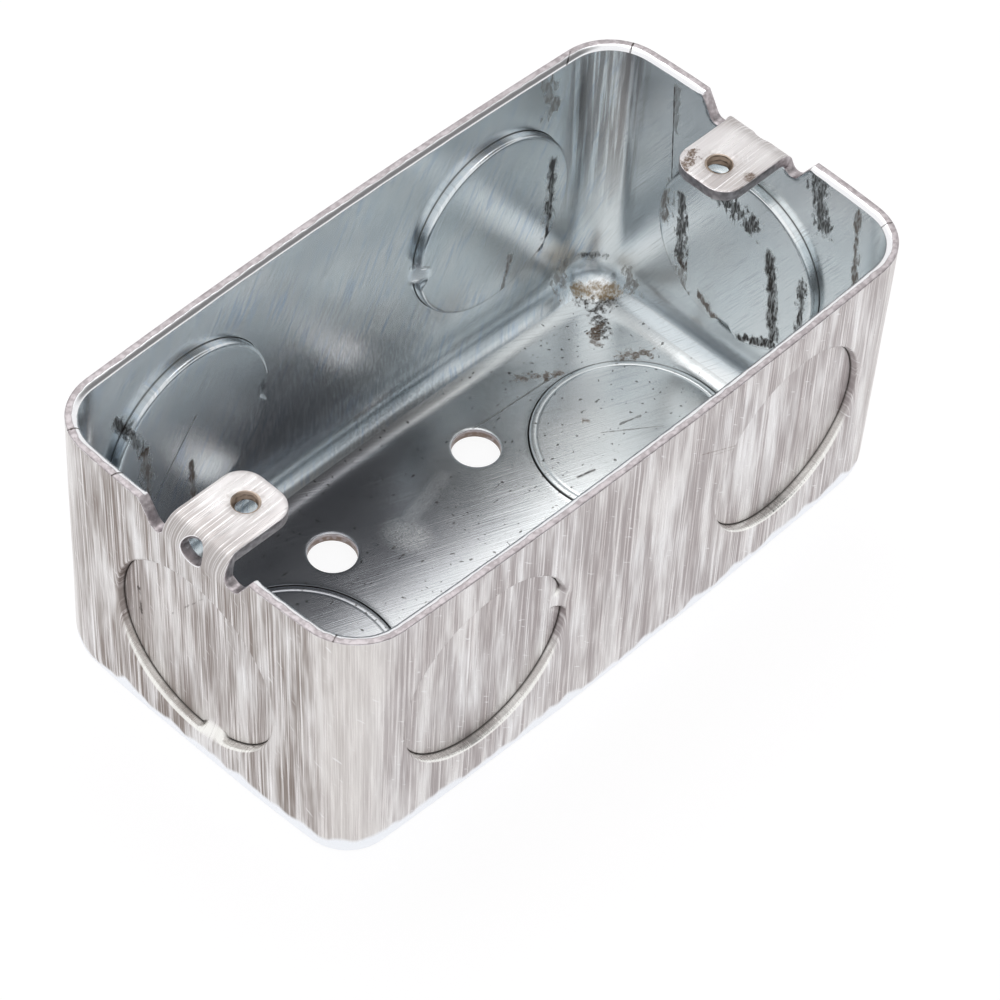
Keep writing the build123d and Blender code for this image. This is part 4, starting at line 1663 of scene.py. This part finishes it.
def draw_inside(wire):
    """Colour, roughness and height of the plated inside."""
    x, y, z = wire.split(wire.place())
    tint = wire.group(CLOUDS, Size=9.0, Cover=0.5, Softness=0.3, Seed=11.0)
    dull = wire.group(CLOUDS, Size=15.0, Cover=0.42, Softness=0.25, Seed=2.0)
    lines = wire.group(BRUSH, Lines=60.0, Angle=0.55, Length=1.4, Seed=2.0)
    wiped = wire.group(BRUSH, Lines=15.0, Angle=0.45, Length=1.6, Seed=6.0)
    at_far_side = wire.between(y, 20.0, 24.0)
    colour = wire.blend(tint, PLATING_COOL, PLATING_PALE)
    # Painted light: the far end wall is made lighter than the rest of the inside
    colour = layer(wire, colour, FAR_END_PAINTED_LIGHT, wire.between(x, 44.0, 47.4), 0.6)
    colour = layer(wire, colour, DULL_GREY, dull, wire.between(x, 45.0, 42.0), 0.5)
    blue = wire.between(wiped, 0.5, 0.66)
    colour = layer(wire, colour, WIPED_BLUE, blue, tint, at_far_side, 0.75)
    colour = layer(wire, colour, BRUSH_LIGHT, wire.between(lines, 0.55, 0.72), 0.3)
    colour = layer(wire, colour, BRUSH_DARK, wire.between(lines, 0.46, 0.32), 0.35)
    # Painted reflection: dark streaks down the upper far corner stand in for the reflections of its
    # wrinkles
    corner = wire.math("MULTIPLY", wire.between(x, 39.0, 43.0), wire.between(y, 17.0, 22.0))
    drawn = wire.group(STREAKS, Lines=9.0, Stretch=0.35, Cover=0.56, Softness=0.1, Seed=3.0)
    high = wire.between(z, 12.0, 30.0)
    colour = layer(wire, colour, CORNER_PAINTED_REFLECTION, corner, drawn, high, 0.75)
    colour, dirt = lay_smears(wire, colour, INSIDE_SMEARS)
    roughness = wire.math("ADD", 0.2, wire.math("MULTIPLY", dull, 0.06))
    roughness = wire.math("ADD", roughness, wire.math("MULTIPLY", dirt, 0.35))
    roughness = wire.math("SUBTRACT", roughness, wire.math("MULTIPLY", wire.between(z, 7.0, 3.0), 0.06))
    return colour, roughness, lines


metal("plated_inside", draw_inside, 0.01)

# %% [markdown]
# ## Floor, underside and cut edges
# The floor is grey plating with specks, laid darker than the walls: partly darker plating and
# partly painted shade. A further painted shade darkens it towards the far wall and the left end,
# where the walls shade it, so it is lighter towards the near wall. The underside is the same
# metal, a little scuffed. Cut edges are torn and mauve grey on their outer half, and bright where
# the die pressed the bevel. The rim has short dark cracks across it, and the walls of the holes
# are brown.

# %% Draw the floor
# Floor plating, darker than the walls' plating, partly as painted shade from the walls round it
FLOOR_COOL = (0.70, 0.73, 0.74)
FLOOR_PALE = (0.78, 0.80, 0.80)
# Painted shade, laid over the floor towards the far wall and the left end
SHADED = (0.24, 0.24, 0.265)
FLOOR_LIGHT = (0.90, 0.92, 0.92)
FLOOR_DARK = (0.30, 0.30, 0.31)
BEND_PALE = (0.78, 0.81, 0.83)
SPECK = (0.08, 0.075, 0.07)


def draw_floor(wire):
    """Colour, roughness and height of the floor."""
    x, y, z = wire.split(wire.place())
    tint = wire.group(CLOUDS, Size=10.0, Cover=0.5, Softness=0.3, Seed=21.0)
    lines = wire.group(BRUSH, Lines=60.0, Angle=1.2, Length=0.8, Seed=12.0)
    specks = wire.between(wire.noise(wire.place(), 1.7, 0.0), 0.76, 0.80)
    # Painted shade: the floor darkens towards the far wall and the left end, where the walls shade it
    shaded = wire.math("MULTIPLY", wire.between(y, -10.0, 8.0), wire.between(x, 24.0, -4.0))
    colour = wire.blend(tint, FLOOR_COOL, FLOOR_PALE)
    colour = layer(wire, colour, SHADED, shaded, 0.85)
    colour = layer(wire, colour, FLOOR_LIGHT, wire.between(lines, 0.52, 0.75), 0.18)
    colour = layer(wire, colour, FLOOR_DARK, wire.between(lines, 0.46, 0.30), 0.2)
    colour = layer(wire, colour, BEND_PALE, wire.between(z, 2.0, 3.4))
    colour = layer(wire, colour, SPECK, specks, 0.7)
    colour, dirt = lay_smears(wire, colour, FLOOR_SMEARS)
    roughness = wire.math("ADD", 0.2, wire.math("MULTIPLY", tint, 0.05))
    roughness = wire.math("ADD", roughness, wire.math("MULTIPLY", dirt, 0.3))
    roughness = wire.math("SUBTRACT", roughness, wire.math("MULTIPLY", wire.between(z, 1.9, 3.0), 0.06))
    return colour, roughness, lines


metal("plated_floor", draw_floor, 0.01, 0.8)

# %% Draw the underside
SCUFFED = (0.60, 0.62, 0.64)
UNSCUFFED = (0.76, 0.77, 0.78)
SCUFF_DARK = (0.38, 0.37, 0.365)


def draw_underside(wire):
    """Colour, roughness and height of the underside."""
    scuffs = wire.group(BRUSH, Lines=26.0, Angle=0.9, Length=2.0, Seed=31.0)
    worn = wire.group(CLOUDS, Size=11.0, Cover=0.5, Softness=0.25, Seed=33.0)
    colour = wire.blend(worn, SCUFFED, UNSCUFFED)
    colour = layer(wire, colour, SCUFF_DARK, wire.between(scuffs, 0.55, 0.75), 0.5)
    return colour, wire.math("ADD", 0.28, wire.math("MULTIPLY", worn, 0.1)), scuffs


metal("underside", draw_underside, 0.012)

# %% Draw the cut edges
TORN_DARK = (0.36, 0.325, 0.335)
TORN_LIGHT = (0.54, 0.50, 0.515)
BEVEL_BRIGHT = (0.90, 0.90, 0.92)
BORE_BROWN = (0.24, 0.175, 0.12)
STAIN_BROWN = (0.20, 0.15, 0.125)
RIM_HEIGHT = 45
# Places of the short cracks across the rim
RIM_CRACKS = (
    (-48.6, 22.1), (41.1, 26.1), (49.0, 22.1), (-49.3, -22.6), (49.7, -22.4), (-50.2, 13.5),
)


def draw_cut_edge(wire):
    """Colour, roughness and height of every sheared edge."""
    x, y, z = wire.split(wire.place())
    grain = wire.noise(wire.place(), 1.5, 3.0)
    uneven = wire.math("MULTIPLY", wire.math("SUBTRACT", grain, 0.5), 0.55)
    torn = wire.between(wire.math("ADD", wire.mark("torn"), uneven), 0.38, 0.56)
    torn_colour = wire.blend(wire.between(grain, 0.35, 0.65), TORN_DARK, TORN_LIGHT)
    colour = wire.blend(torn, BEVEL_BRIGHT, torn_colour)
    hole_x = device_screw_spacing / 2
    from_hole = wire.combine(wire.math("SUBTRACT", wire.math("ABSOLUTE", x), hole_x), y, 0.0)
    in_hole = wire.between(wire.vector("LENGTH", from_hole), 3.0, 2.2)
    colour = layer(wire, colour, BORE_BROWN, in_hole, 0.85)
    stain = wire.math("ADD", 0.35, wire.between(grain, 0.35, 0.6), clamp=True)
    colour = layer(wire, colour, STAIN_BROWN, wire.between(z, 1.4, 0.9), stain)
    cracks = tuple(
        (
            ON_FLOOR, (0.97 * crack_x, 0.97 * crack_y, RIM_HEIGHT),
            (1.03 * crack_x, 1.03 * crack_y, RIM_HEIGHT), 0.15, 0.9, 0.95, BLACK,
        )
        for crack_x, crack_y in RIM_CRACKS
    )
    colour, dirt = lay_smears(wire, colour, cracks)
    roughness = wire.math("ADD", 0.22, wire.math("MULTIPLY", torn, 0.2))
    return colour, roughness, wire.math("MULTIPLY", grain, torn)


metal("cut_edge", draw_cut_edge, 0.06)
print("materials:", [material.name for material in sheet_metal.data.materials])
